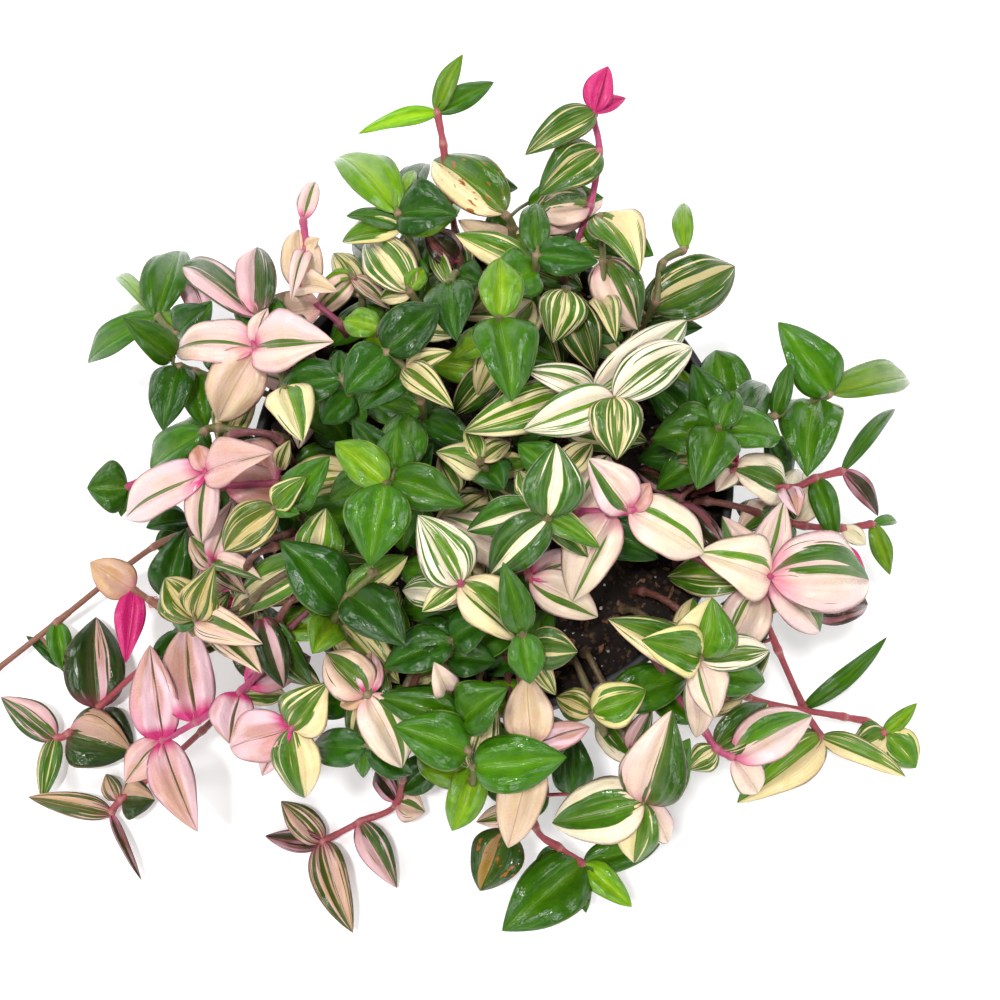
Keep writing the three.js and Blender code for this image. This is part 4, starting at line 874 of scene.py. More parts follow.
# Each kind: its green and its pale colour, how far it flushes pink, the middle and half width of its main
# band, how pale (up to 1) or green (down to -1) that band is, how pale the rest is, how strong its stripes
# are, and how many there are.
KINDS = {
    "deep": ((0.022, 0.096, 0.003), (0.26, 0.44, 0.06), 0.0, 0.0, 0.0, 0, -1.6, 0.2, 3.0),
    "green": ((0.050, 0.165, 0.003), (0.38, 0.55, 0.09), 0.0, 0.0, 0.0, 0, -1.5, 0.3, 3.0),
    "fresh": ((0.220, 0.450, 0.006), (0.50, 0.68, 0.12), 0.0, 0.0, 0.0, 0, -1.5, 0.4, 3.0),
    "lime": ((0.155, 0.310, 0.005), (0.55, 0.66, 0.13), 0.0, 0.0, 0.0, 0, -1.2, 0.8, 3.0),
    "pale": ((0.060, 0.175, 0.010), (0.80, 0.74, 0.50), 0.1, 0.1, 0.25, 1, 0.5, 0.7, 3.0),
    "halved": ((0.070, 0.190, 0.005), (0.78, 0.66, 0.33), 0.1, 0.62, 0.42, 1, -0.6, 1.4, 5.0),
    "half_pink": ((0.050, 0.145, 0.006), (0.80, 0.60, 0.46), 0.35, 0.52, 0.55, 1, -0.55, 1.25, 4.4),
    "lilac": ((0.036, 0.100, 0.010), (0.62, 0.38, 0.36), 0.4, 0.55, 0.36, 1, -0.3, 1.35, 5.5),
    "striped": ((0.080, 0.200, 0.006), (0.78, 0.69, 0.38), 0.08, 0.0, 0.14, 0.5, -0.2, 1.5, 5.0),
    "banded": ((0.085, 0.205, 0.008), (0.84, 0.78, 0.60), 0.08, 0.5, 0.28, 0.5, 0.15, 1.7, 5.0),
    "lined": ((0.038, 0.120, 0.004), (0.66, 0.56, 0.27), 0.05, 0.3, 0.08, 0.6, -0.5, 1.4, 6.0),
    "edged": ((0.075, 0.205, 0.004), (0.74, 0.67, 0.27), 0.05, 0.0, 0.74, -1, 0.75, 1.35, 5.0),
    "core": ((0.060, 0.175, 0.006), (0.82, 0.75, 0.53), 0.1, 0.0, 0.50, -1, 0.75, 1.3, 4.6),
    "ribbed": ((0.040, 0.140, 0.003), (0.88, 0.80, 0.58), 0.05, 0.06, 0.20, 1, -0.7, 0.9, 4.0),
    "cream": ((0.075, 0.190, 0.005), (0.76, 0.68, 0.36), 0.1, 0.25, 0.24, -1, 0.6, 1.3, 5.0),
    "candy": ((0.060, 0.145, 0.006), (0.74, 0.54, 0.37), 0.3, 0.20, 0.18, -1, 0.6, 1.35, 5.0),
    "lens": ((0.050, 0.160, 0.005), (0.82, 0.65, 0.54), 0.5, 0.32, 0.30, -1, 0.85, 0.95, 4.6),
    "thread": ((0.080, 0.205, 0.006), (0.84, 0.70, 0.52), 0.3, 0.30, 0.11, -1, 0.85, 0.85, 4.6),
    "peach": ((0.150, 0.200, 0.015), (0.58, 0.36, 0.18), 0.25, 0.0, 0.0, 0, 1.5, 0.4, 3.0),
    "ivory": ((0.150, 0.200, 0.015), (0.68, 0.52, 0.32), 0.25, 0.0, 0.0, 0, 1.5, 0.4, 3.0),
    "straw": ((0.075, 0.160, 0.006), (0.66, 0.57, 0.28), 0.05, 0.1, 0.05, -1, 0.3, 1.2, 4.6),
    "salmon": ((0.120, 0.140, 0.020), (0.52, 0.255, 0.165), 0.4, 0.0, 0.0, 0, 1.5, 0.3, 3.0),
    "rose": ((0.080, 0.130, 0.015), (0.62, 0.39, 0.31), 0.5, 0.1, 0.06, -1, 0.9, 0.5, 3.6),
    "white": ((0.080, 0.220, 0.012), (0.80, 0.65, 0.50), 0.35, 0.95, 0.08, -1, 1.0, 0.5, 3.6),
    "blush": ((0.060, 0.150, 0.006), (0.80, 0.61, 0.50), 0.6, 0.05, 0.11, -1, 0.85, 0.95, 5.0),
    "pink": ((0.055, 0.050, 0.012), (0.55, 0.33, 0.24), 1.0, 0.08, 0.035, -1, 0.75, 0.95, 5.0),
    "dusky": ((0.050, 0.085, 0.006), (0.54, 0.34, 0.20), 0.3, 0.28, 0.12, 1, -0.15, 1.4, 7.0),
    "dark_rib": ((0.020, 0.045, 0.006), (0.52, 0.31, 0.26), 0.5, 0.27, 0.25, 1, -1.0, 1.1, 4.6),
    "dark_half": ((0.020, 0.052, 0.005), (0.44, 0.28, 0.16), 0.2, 0.48, 0.38, 1, -0.9, 1.2, 4.6),
    "rusty": ((0.030, 0.095, 0.005), (0.32, 0.19, 0.03), 0.1, 0.3, 0.2, 1, -0.9, 0.9, 3.0),
    "magenta": ((0.20, 0.02, 0.05), (0.56, 0.018, 0.16), 0.0, 0.2, 0.05, -1, 0.9, 0.6, 3.6),
    "maroon": ((0.030, 0.028, 0.008), (0.17, 0.045, 0.04), 0.3, 0.3, 0.25, -1, 0.2, 1.1, 4.0),
    "olive": ((0.085, 0.150, 0.006), (0.56, 0.46, 0.18), 0.08, 0.1, 0.12, 0.7, -0.05, 1.4, 5.5),
}

BLUSH = (0.68, 0.28, 0.40)
LILAC = (0.74, 0.50, 0.56)
SHEATH_PINK = (0.55, 0.035, 0.17)


def leaf_face(name, dullness):
    """The leaf's surface. The map runs from -1 to 1 across the blade and from 0 to 1 along it."""
    paint = Paint(name, IOR=1.45)
    spot = paint.node("UVMap", {"uv_map": "blade"})
    across = paint.part(spot, "X")
    along = paint.part(spot, "Y")
    tone = paint.stored("tone", "Color")
    pale = paint.stored("pale", "Color")
    band = paint.stored("band")
    stripe = paint.stored("stripe")
    trait = paint.stored("trait")
    middle, half, side = (paint.part(band, axis) for axis in "XYZ")
    level, amount, pitch = (paint.part(stripe, axis) for axis in "XYZ")
    seed, flush, rust = (paint.part(trait, axis) for axis in "XYZ")

    # Broad stripes and a main band, which run along the veins and narrow towards the base.
    drift = paint.noise(paint.vector(across * 1.2, along * 1.7 + seed * 7, seed), 1.0, 1.0) - 0.5
    course = across + drift * 0.16
    broad = paint.noise(paint.vector(course * pitch + seed * 31, along * 0.7, seed * 5), 1.0, 2.0, 0.55) - 0.5
    thin = paint.noise(paint.vector(course * 15 + seed * 13, along * 0.8, seed * 3), 1.0, 2.0) - 0.5
    taper = 0.4 + 0.6 * paint.step(along, -0.05, 0.35)
    inside = paint.clamp(5 * (half * taper - abs(course - middle)) + 0.5)
    paleness = level + 1.5 * side * inside + amount * (3.5 * broad + 1.5 * thin)
    light = paint.step(paleness, -0.02, 0.05)
    beside = paint.step(paleness, -0.42, -0.05)

    # Greens: darker blotches, painted shade towards the edges, painted light along the middle, faint veins, a
    # pale midrib, and a paler green beside the light stripes.
    cloud = paint.noise(paint.vector(across * 1.6, along * 2.6, seed * 17), 2.2, 4.0, 0.6)
    green = paint.mix(paint.step(cloud, 0.30, 0.72), tone, paint.scaled(tone, (0.46, 0.60, 0.6)))
    green = paint.mix(0.38 * beside, green, paint.mix(0.22, tone, pale))
    # Painted shade: the green darkens towards the edges of the blade.
    green = paint.mix(0.45 * paint.step(abs(across), 0.3, 0.95), green, paint.scaled(tone, (0.30, 0.48, 0.5)))
    # Painted light: the green turns lighter and yellower along the middle of the blade.
    painted_light_middle = 0.4 - 0.4 * paint.step(abs(across), 0.04, 0.45)
    green = paint.mix(painted_light_middle, green, paint.scaled(tone, (1.9, 1.45, 1.0)))
    green = paint.mix(0.09 * amount * paint.step(thin, -0.02, 0.12), green, paint.mix(0.5, tone, pale))
    rib = 1 - paint.step(abs(across), 0.0, 0.03)
    green = paint.mix(rib * 0.34, green, pale)
    edge = paint.step(abs(across), 0.93, 0.985)
    green = paint.mix(edge * 0.75, green, paint.mix(0.6, tone, pale))

    # Pale parts: warmer blotches, faint veins, and a flush of pink that is strongest at the base.
    cream = paint.mix(paint.step(cloud, 0.4, 0.75) * 0.6, pale, paint.scaled(pale, (0.95, 0.80, 0.66)))
    cream = paint.mix(0.16 * paint.step(thin, 0.0, 0.2), cream, tone)
    base = 1 - paint.step(along, 0.0, 0.2)
    lower = 1 - paint.step(along, 0.05, 0.65)
    rim = paint.step(abs(across), 0.55, 1.0)
    blush = flush * (0.15 + 0.6 * lower + 0.5 * rim * paint.step(cloud, 0.3, 0.6))
    cream = paint.mix(paint.clamp(0.75 * blush), cream, BLUSH)
    cream = paint.mix(paint.clamp(0.85 * flush * paint.step(drift, 0.05, -0.11)), cream, LILAC)
    cream = paint.mix(edge * 0.45, cream, (0.52, 0.20, 0.20))
    colour = paint.mix(light, green, cream)
    colour = paint.mix(paint.clamp(flush * base * 1.5 * (0.35 + 0.65 * light)), colour,
                       SHEATH_PINK)
    spots = paint.noise(paint.vector(across * 3.0, along * 5.0, seed * 23), 1.6, 3.0)
    colour = paint.mix(rust * paint.step(spots, 0.60, 0.66), colour, (0.34, 0.10, 0.018))
    if dullness:
        colour = paint.mix(dullness, colour, (0.30, 0.16, 0.14))

    cells = paint.noise(paint.vector(across * 24, along * 55, seed), 1.0, 2.0)
    pucker = paint.noise(paint.vector(across * 2.6, along * 4.2, seed * 9), 1.0, 4.0, 0.62)
    height = 0.14 * cells + 1.5 * pucker - 0.5 * rib + 0.10 * thin + 0.2 * light
    shine = 0.07 + 0.15 * cells + 0.3 * dullness + 0.12 * light
    paint.finish(colour, shine, height, 0.6)
    return paint.material


leaf_top = leaf_face("leaf_upper_face", 0.0)
leaf_under = leaf_face("leaf_lower_face", 0.45)


def blade_surface(base, tip, width, roll, seed):
    """A function that gives the upper face's points, and the way that the face looks."""
    chord = tip - base
    length = np.linalg.norm(chord)
    along = chord / length
    level = np.cross(along, UP)
    level /= np.linalg.norm(level)
    across = level * math.cos(roll) - np.cross(level, along) * math.sin(roll)
    lift = np.cross(across, along)
    turns = np.random.default_rng(seed).uniform(0, 2 * math.pi, 3)

    def surface(t, u):
        half = 0.5 * width * (t / WIDEST_AT) ** 0.5 * ((1 - t) / (1 - WIDEST_AT)) ** 0.9
        half = half * (1 + EDGE_WAVER * np.sin(9 * t + turns[0]))
        wave = EDGE_WAVE * width * u * np.abs(u) * np.sin(7 * t + turns[1]) * np.sin(math.pi * t)
        bulge = BULGE * half * np.sin(math.pi * np.minimum(np.abs(u), 1)) ** 2
        fold = LEAF_FOLD * half * (np.sqrt(u * u + 0.012) - 0.11)
        rise = 4 * LEAF_ARCH * length * t * (1 - t) + fold + wave + bulge
        sway = SWAY * length * math.sin(turns[2]) * np.sin(math.pi * t)
        return base + t[..., None] * chord + (u * half + sway)[..., None] * across + rise[..., None] * lift

    return surface, lift


def blade_shape(base, tip, width, roll, seed):
    """A closed thin blade: vertices, and each one's place across and along it."""
    surface, lift = blade_surface(base, tip, width, roll, seed)
    t = 0.5 - 0.5 * np.cos(math.pi * (np.arange(BLADE_ROWS) + 0.7) / (BLADE_ROWS + 0.4))
    t, u = np.meshgrid(t, np.linspace(-1, 1, BLADE_COLUMNS), indexing="ij")
    upper = surface(t, u)
    body = np.sqrt(np.clip(1 - u ** 2, 0, 1)) ** 0.5 * np.minimum(1, 8 * (1 - t)) * LEAF_THICKNESS
    lower = (upper - body[..., None] * lift)[:, 1:-1]
    places = np.vstack([upper.reshape(-1, 3), lower.reshape(-1, 3), [base, tip]])
    on_blade = np.vstack([
        np.stack([u, t], -1).reshape(-1, 2),
        np.stack([u[:, 1:-1], t[:, 1:-1]], -1).reshape(-1, 2),
        [(0, 0), (0, 1)],
    ])
    return places, on_blade


def blade_faces():
    """The corners of every blade's faces, upper face first, and 0 or 1 for each, upper or lower."""
    columns = BLADE_COLUMNS
    upper = np.arange(BLADE_ROWS * columns).reshape(BLADE_ROWS, columns)
    inner = len(upper.ravel()) + np.arange(BLADE_ROWS * (columns - 2)).reshape(BLADE_ROWS, columns - 2)
    lower = np.hstack([upper[:, :1], inner, upper[:, -1:]])
    base = inner.max() + 1
    tip = base + 1
    faces, slots = [], []
    for grid, under in ((upper, 0), (lower, 1)):
        for row in range(BLADE_ROWS - 1):
            for column in range(columns - 1):
                a, b = grid[row, column], grid[row, column + 1]
                c, d = grid[row + 1, column + 1], grid[row + 1, column]
                faces.append((d, c, b, a) if under else (a, b, c, d))
        for column in range(columns - 1):
            a, b = grid[0, column], grid[0, column + 1]
            c, d = grid[-1, column], grid[-1, column + 1]
            faces += [(a, b, base), (c, tip, d)] if under else [(base, b, a), (d, tip, c)]
        slots += [under] * (len(faces) - len(slots))
    return faces, slots


BLADE_FACES, BLADE_SLOTS = blade_faces()

# ---- Shoots found again ---------------------------------------------------------------------------
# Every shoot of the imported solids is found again: how far it has sunk under the others, where its leaves'
# tips are, and the way its stem takes down to the soil. So the fine stems and leaves lie on the plain ones,
# also the leaves in the shade that the photograph hides.
LEAVES_A_SHOOT = 100
FIRST_SHADE, FIRST_UNDER = 20, 50
SHADE_SPACING = 0.021
SHADE_LENGTH = 0.037
SHADE_WIDTH = 0.56
SHADE_VARIETY = 0.16
SHADE_TURNS = [0, 0.6, -0.6, 1.2, -1.2]
SHADE_TILTS = [0.1, -0.2, -0.5, 0.4, -0.8]
SHADE_FROM = 0.012
SHADE_UNTIL = 0.010
BUD_LENGTH = 0.014
FINE_STEP = 0.0005
LAYERS = 30
BENDS = 7
SAME_POINT = 3e-5
RING_FIT = 2e-5
RING_CORNERS = 4
TURN_BETWEEN_SHOOTS = 2.4


def on_ring(point, near):
    """How many of a node's corners lie on the stem's own ring round a point."""
    return int((np.abs(np.linalg.norm(near - point, axis=1) - STEM_RADIUS) < RING_FIT).sum())


def nearest_on(line, point):
    """The point of a row of straight stretches that is nearest to a point."""
    starts, ways = line[:-1], np.diff(line, axis=0)
    share = np.clip(((point - starts) * ways).sum(1) / (ways * ways).sum(1), 0, 1)
    found = starts + ways * share[:, None]
    return found[np.argmin(np.linalg.norm(found - point, axis=1))]


def roll_of(number, blade):
    """How far a leaf leans to one side, by its shoot's number and its own."""
    return LEAF_ROLL * math.sin(SHOOT_ROLL * number + BLADE_ROLL * blade)


def seed_of(number, blade):
    """A fixed seed for each leaf, by its shoot's number and its own."""
    return LEAVES_A_SHOOT * number + blade


def tips_round(base, heading, reach, turns, tilts):
    """Where a leaf's tip may come, for every turn and tilt that is tried."""
    for turn in turns:
        for tilt in tilts:
            way = np.array([math.cos(heading + turn), math.sin(heading + turn), tilt])
            yield base + way / np.linalg.norm(way) * reach


def read_back(number, shoot):
    """A shoot's node, knots, joints and leaves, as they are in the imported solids."""
    name, _, rows = shoot
    seen = [np.argmin(np.hypot(shown[:, 0] - row[1], shown[:, 1] - row[2])) for row in rows]
    owner = owners[seen[0]]
    own = corners[owners == owner]

    def misfit(drop):
        pairs = zip(laid(shoot, drop)[1], seen)
        return sum(min(abs(height - corners[tip][2]) for height in heights) for (_, heights), tip in pairs)

    joints, leaves = laid(shoot, min(range(LAYERS), key=misfit))
    best = (-1, None)
    for hole in holes(joints[-1]):
        for bend in range(BENDS):
            knots = route(joints, hole, bend)
            spine, length = even_points(knots, STEM_STEP)
            share = sum(min(on_ring(point, own), RING_CORNERS) for point in spine) / len(spine)
            if share > best[0]:
                best = (share, knots, spine, length)
        if best[0] == RING_CORNERS:
            break
    _, knots, spine, length = best

    blades = []
    for blade, ((base, _), tip, row) in enumerate(zip(leaves, seen, rows)):
        width = LEAF_BREADTH * row[3] * ((base - EYE) @ FORWARD) / FOCAL
        root = nearest_on(spine, base)
        blades.append((root, corners[tip], width, roll_of(number, blade), row[4], (row[1], row[2])))

    start = np.linalg.norm(joints[0] - joints[-1]) + SHADE_FROM if len(joints) > 1 else BUD_LENGTH
    places, _ = even_points(knots, FINE_STEP)
    order = 0
    while start + order * SHADE_SPACING < length - HOLE_DEPTH - SHADE_UNTIL:
        at = round((start + order * SHADE_SPACING) / length * (len(places) - 1))
        base = nearest_on(spine, places[min(at, len(places) - 1)])
        heading = TURN_BETWEEN_SHOOTS * number + math.pi * order
        reach = SHADE_LENGTH * (1 + SHADE_VARIETY * math.sin(7.3 * number + 2.9 * order))
        for tip in tips_round(base, heading, reach, SHADE_TURNS, SHADE_TILTS):
            if np.linalg.norm(own - tip, axis=1).min() < SAME_POINT:
                roll = roll_of(number, order + FIRST_SHADE)
                blades.append((base, tip, SHADE_WIDTH * reach, roll, "shade", (0, 0)))
        order += 1
    return {"name": name, "owner": owner, "knots": knots, "joints": joints, "blades": blades,
            "side_leaves": []}


shoots = [read_back(number, shoot) for number, shoot in enumerate(photographed)]

# ---- Side shoots' leaves --------------------------------------------------------------------------
# Leaves of side shoots that the photograph shows between the main ones, half under their neighbours. Each
# row is the pixel of the leaf's base, the pixel of its tip, its width in pixels, and its kind. Each takes the
# height at which it fits under the leaves over it, and a thin stalk joins it to the nearest stem.
CELL = 6
MARGIN = 120
COLUMNS = math.ceil((PHOTO_WIDTH + 2 * MARGIN) / CELL)
UNDER_TILTS = [0.35, 0.05, -0.25, -0.6, 0.8]
BETWEEN_STEP = 0.002
BETWEEN_LIFTS = [0, 0.006, -0.006, 0.012, -0.012, 0.020, -0.020, 0.030, -0.030, 0.042]
LEAF_CLEARANCE = 0.001
GROUND_CLEARANCE = 0.0008
SUNK_WEIGHT = 3
LIFT_WEIGHT = 4
STALK_RADIUS = 0.0009
FIRST_SIDE_SEED = 9000
SHEATHED = 0.12
TEST_ALONG, TEST_ACROSS = np.meshgrid(np.linspace(SHEATHED, 1, 12), np.linspace(-1, 1, 9), indexing="ij")
canopy = np.full(COLUMNS * COLUMNS, np.inf)


def cells_of(points):
    """The cells of the canopy that the lens shows points in."""
    pixels = ((to_photo(points)[0] + MARGIN) / CELL).astype(int)
    return pixels[..., 0] + COLUMNS * pixels[..., 1]


def ground_height(points):
    """The height of the soil, the rim or the surface under points."""
    radius = np.hypot(points[..., 0], points[..., 1])
    ground = np.where(radius < RIM_RADIUS + RIM_MARGIN, POT_HEIGHT, 0)
    return np.where(radius < RIM_INNER - RIM_MARGIN, soil_height(radius), ground)


def leaf_points(base, tip, width, roll, seed):
    """Points all over a leaf's upper face, without the stretch next to the stem."""
    return blade_surface(base, tip, width, roll, seed)[0](TEST_ALONG, TEST_ACROSS).reshape(-1, 3)


def cover(base, tip, width, roll, seed):
    """Adds a leaf to the canopy that the later ones have to fit under."""
    points = leaf_points(base, tip, width, roll, seed)
    np.minimum.at(canopy, cells_of(points), points[:, 2])


for number, shoot in enumerate(shoots):
    for blade, leaf in enumerate(shoot["blades"]):
        cover(*leaf[:4], seed_of(number, blade))

between = [
    [174, 357, 123, 318, 34, "green"], [180, 345, 212, 301, 30, "green"], [205, 318, 180, 268, 26, "pink"],
    [166, 598, 186, 528, 40, "deep"], [188, 520, 146, 528, 28, "deep"], [172, 606, 200, 560, 28, "candy"],
    [185, 636, 150, 664, 26, "deep"], [572, 794, 570, 727, 38, "deep"], [630, 750, 652, 706, 22, "lilac"],
    [828, 545, 866, 573, 20, "magenta"], [768, 606, 720, 604, 26, "edged"],
    [764, 642, 736, 616, 22, "deep"], [728, 698, 770, 652, 26, "lined"], [722, 692, 754, 676, 20, "salmon"],
    [726, 404, 716, 350, 52, "green"], [768, 436, 790, 480, 28, "deep"],
    [737, 462, 723, 449, 13, "magenta"], [772, 505, 736, 536, 30, "half_pink"],
    [792, 524, 758, 545, 28, "green"], [66, 668, 26, 636, 14, "deep"], [456, 262, 424, 230, 36, "maroon"],
    [528, 203, 604, 198, 30, "green"], [532, 231, 603, 200, 44, "half_pink right"],
    [458, 492, 438, 456, 26, "cream"], [520, 262, 458, 220, 36, "ivory"],
    [450, 285, 432, 246, 18, "striped"], [280, 470, 290, 440, 18, "straw"],
    [118, 800, 106, 774, 20, "dusky"], [796, 600, 868, 604, 54, "maroon"],
    [100, 712, 134, 746, 30, "dark_rib"], [503, 772, 548, 802, 34, "green"],
]
lines = [even_points(shoot["knots"], BETWEEN_STEP)[0] for shoot in shoots]
line_of = np.repeat(np.arange(len(shoots)), [len(line) for line in lines])
places = np.vstack(lines)
pixels, _ = to_photo(places)
for order, (base_x, base_y, tip_x, tip_y, wide, kind) in enumerate(between):
    nearest = np.argmin(np.hypot(pixels[:, 0] - base_x, pixels[:, 1] - base_y))
    root = places[nearest]
    roll, seed = roll_of(order, 3), FIRST_SIDE_SEED + order
    best = (math.inf, None)
    for lift, tilt in ((lift, tilt) for lift in BETWEEN_LIFTS for tilt in UNDER_TILTS):
        base = from_photo(base_x, base_y, max(root[2] + lift, LOWEST_TIP))
        span = np.linalg.norm(from_photo(tip_x, tip_y, base[2]) - base)
        tip = from_photo(tip_x, tip_y, max(base[2] + tilt * span, LOWEST_TIP))
        width = LEAF_BREADTH * wide * ((base - EYE) @ FORWARD) / FOCAL
        points = leaf_points(base, tip, width, roll, seed)
        hidden = (points[:, 2] > canopy[cells_of(points)] - LEAF_CLEARANCE).mean()
        sunk = (points[:, 2] < ground_height(points) + GROUND_CLEARANCE).mean()
        misfit = hidden + SUNK_WEIGHT * sunk + LIFT_WEIGHT * abs(lift)
        if misfit < best[0]:
            best = (misfit, (root, base, tip, width, roll, kind, seed))
    shoots[line_of[nearest]]["side_leaves"].append(best[1])
    cover(*best[1][1:5], seed)

# ---- Leaves under the crown -----------------------------------------------------------------------
# Lower on the hidden stems, leaves grow wherever they find room and light, so that the crown is dense and
# little soil shows through it. The few gaps that show soil in the photograph stay open: each is the pixel of
# its middle and its radius in pixels.
UNDER_STEP = 0.001
UNDER_SPACING = 0.011
UNDER_LENGTH = 0.036
UNDER_SIZES = (0.62, 1.15)
UNDER_WIDTH = 0.56
UNDER_REACH = 0.150
UNDER_FROM = 0.008
UNDER_UNTIL = 0.006
LIGHT_WANTED = 0.15
LIGHT_DEPTH = 0.02
DEEP_SHARE = 0.35
HIDDEN_AT_MOST = 0.06
OUTSIDE_AT_MOST = 0.02
BARE_AT_MOST = 0.04
UNDER_TURNS = [0, 0.5, -0.5, 1.0, -1.0, 1.6, -1.6, 2.3, -2.3, 3.1]
SOIL_SEEN = [(632, 598, 40), (590, 668, 34), (700, 490, 14), (265, 425, 14)]

for number, shoot in enumerate(shoots):
    random = np.random.default_rng(number)
    start = np.linalg.norm(shoot["joints"][0] - shoot["joints"][-1]) + UNDER_FROM
    places, length = even_points(shoot["knots"], UNDER_STEP)
    order = 0
    while start + order * UNDER_SPACING < length - HOLE_DEPTH - UNDER_UNTIL:
        base = places[round((start + order * UNDER_SPACING) / length * (len(places) - 1))]
        heading = TURN_BETWEEN_SHOOTS * (number + order) + 1
        reach = UNDER_LENGTH * random.uniform(*UNDER_SIZES)
        best = (LIGHT_WANTED, None)
        roll, seed = roll_of(number, order + FIRST_UNDER), seed_of(number, order + FIRST_UNDER)
        for tip in tips_round(base, heading, reach, UNDER_TURNS, UNDER_TILTS):
            leaf = (base, tip, UNDER_WIDTH * reach, roll, "under", (0, 0))
            points = leaf_points(*leaf[:4], seed)
            roof = canopy[cells_of(points)]
            pixels = to_photo(points)[0]
            radius = np.hypot(points[:, 0], points[:, 1])
            bare = any((np.hypot(pixels[:, 0] - x, pixels[:, 1] - y) < size).mean() > BARE_AT_MOST
                       for x, y, size in SOIL_SEEN)
            outside = (np.isinf(roof) & (radius > UNDER_REACH)).mean() > OUTSIDE_AT_MOST
            low = (points[:, 2] < ground_height(points) + LEAF_CLEARANCE).any()
            hidden = (points[:, 2] > roof - LEAF_CLEARANCE).mean() > HIDDEN_AT_MOST
            if bare or outside or low or hidden:
                continue
            opened = np.isinf(roof).mean() + DEEP_SHARE * (roof > points[:, 2] + LIGHT_DEPTH).mean()
            if opened > best[0]:
                best = (opened, leaf)
        if best[1]:
            shoot["blades"].append(best[1])
            cover(*best[1][:4], seed)
        order += 1

# ---- Leafy shoots ---------------------------------------------------------------------------------
# Each shoot is one fleshy stem with its own leaves, rooted in the soil by its lower end. The fine piece
# takes the place of the plain solid, with the same route, leaf bases and leaf tips.
SPINE_STEP = 0.0016
FADE_SHARE = 0.75
STALK_RISE = 0.0015
# The place of the stem's material, after those of the leaf's upper and lower face.
STEM_SLOT = 2
SEEN_KIND_CHANCE = 0.35
HIDDEN_KINDS = ["deep", "deep", "green", "green", "lined", "striped", "straw"]
# The tips of the leaves that have rusty spots, in pixels.
RUST_SPOTTED = [(525, 432), (728, 277), (433, 160), (540, 398)]


class Piece:
    """The growing lists of one node's mesh."""

    def __init__(self):
        self.vertices, self.faces, self.slots = [], [], []
        self.looks = {label: [] for label in ("blade", "tone", "pale", "band", "stripe", "trait")}
        self.count = 0

    def add(self, vertices, faces, slots, **looks):
        self.vertices.append(vertices)
        self.faces += [tuple(corner + self.count for corner in face) for face in faces]
        self.slots += slots
        for label, held in self.looks.items():
            values = np.atleast_2d(looks.get(label, (0, 0) if label == "blade" else (0, 0, 0)))
            held.append(np.broadcast_to(values, (len(vertices), values.shape[1])))
        self.count += len(vertices)

    def object(self, name, materials):
        made = mesh_object(name, np.vstack(self.vertices), self.faces, materials, self.slots)
        mesh = made.data
        corner = np.empty(len(mesh.loops), np.int32)
        mesh.loops.foreach_get("vertex_index", corner)
        layer = mesh.uv_layers.new(name="blade")
        layer.data.foreach_set("uv", np.vstack(self.looks["blade"])[corner].ravel())
        for label in ("tone", "pale", "band", "stripe", "trait"):
            values = np.vstack(self.looks[label])
            if label in ("tone", "pale"):
                stored = mesh.attributes.new(label, "FLOAT_COLOR", "POINT")
                stored.data.foreach_set("color", np.hstack([values, np.ones((len(values), 1))]).ravel())
            else:
                stored = mesh.attributes.new(label, "FLOAT_VECTOR", "POINT")
                stored.data.foreach_set("vector", values.ravel())
        return made


def add_leaf(piece, base, tip, width, roll, kind, seed, spotted=False):
    """Adds one leaf, whose kind may end with the side of the midrib that its main band lies on."""
    random = np.random.default_rng(seed)
    places, on_blade = blade_shape(base, tip, width, roll, seed)
    kind, _, band_side = kind.partition(" ")
    tone, pale, flush, middle, half, side, level, amount, pitch = KINDS[kind]
    middle *= {"left": -1, "right": 1}.get(band_side, random.choice([-1, 1]))
    piece.add(
        places, BLADE_FACES, BLADE_SLOTS, blade=on_blade, pale=pale,
        tone=np.array(tone) * random.uniform(0.75, 1.25),
        band=(middle, half * random.uniform(0.8, 1.25), side),
        stripe=(level + random.uniform(-0.08, 0.08), amount * random.uniform(0.8, 1.2), pitch),
        trait=(random.uniform(0, 1), flush * random.uniform(0.7, 1.3), float(spotted or kind == "rusty")))


def grow(piece, shoot, number):
    """Adds a shoot's stem and leaves to its node's piece."""
    knots = shoot["knots"]
    spine, length = even_points(knots, SPINE_STEP)
    radii, ring, marks = stem_radii(spine, shoot["joints"], length)
    vertices, faces = tube(spine, radii)
    ring = np.concatenate([[0], np.repeat(ring, STEM_SIDES), [0]])
    trait = np.stack([np.zeros(len(ring)), ring, np.zeros(len(ring))], 1)
    tone = np.array(stem_tone(shoot["name"]))
    run = np.linspace(0, length, len(spine))
    fade = np.clip((run - run[marks[len(shoot["joints"]) - 1]]) / FADE_LENGTH, 0, 1)
    fade = np.concatenate([[0], np.repeat(fade, STEM_SIDES), [1]])[:, None]
    tone = tone * (1 - FADE_SHARE * fade) + np.array(LOWER_BROWN) * FADE_SHARE * fade
    piece.add(vertices, faces, [STEM_SLOT] * len(faces), tone=tone, trait=trait)

    for root, base, tip, width, roll, kind, seed in shoot["side_leaves"]:
        stalk, length = even_points(np.array([root, (root + base) / 2 + UP * STALK_RISE, base]), SPINE_STEP)
        vertices, faces = tube(stalk, np.full(len(stalk), STALK_RADIUS))
        piece.add(vertices, faces, [STEM_SLOT] * len(faces), tone=stem_tone(shoot["name"]))
        add_leaf(piece, base, tip, width, roll, kind, seed)
    seen = [leaf[4] for leaf in shoot["blades"] if leaf[4] not in ("shade", "under")]
    for blade, (base, tip, width, roll, kind, pixel) in enumerate(shoot["blades"]):
        seed = seed_of(number, blade)
        if kind in ("shade", "under"):
            random = np.random.default_rng(seed)
            kind = random.choice(seen if random.uniform() < SEEN_KIND_CHANCE else HIDDEN_KINDS)
        add_leaf(piece, nearest_on(spine, base), tip, width, roll, kind, seed, pixel in RUST_SPOTTED)


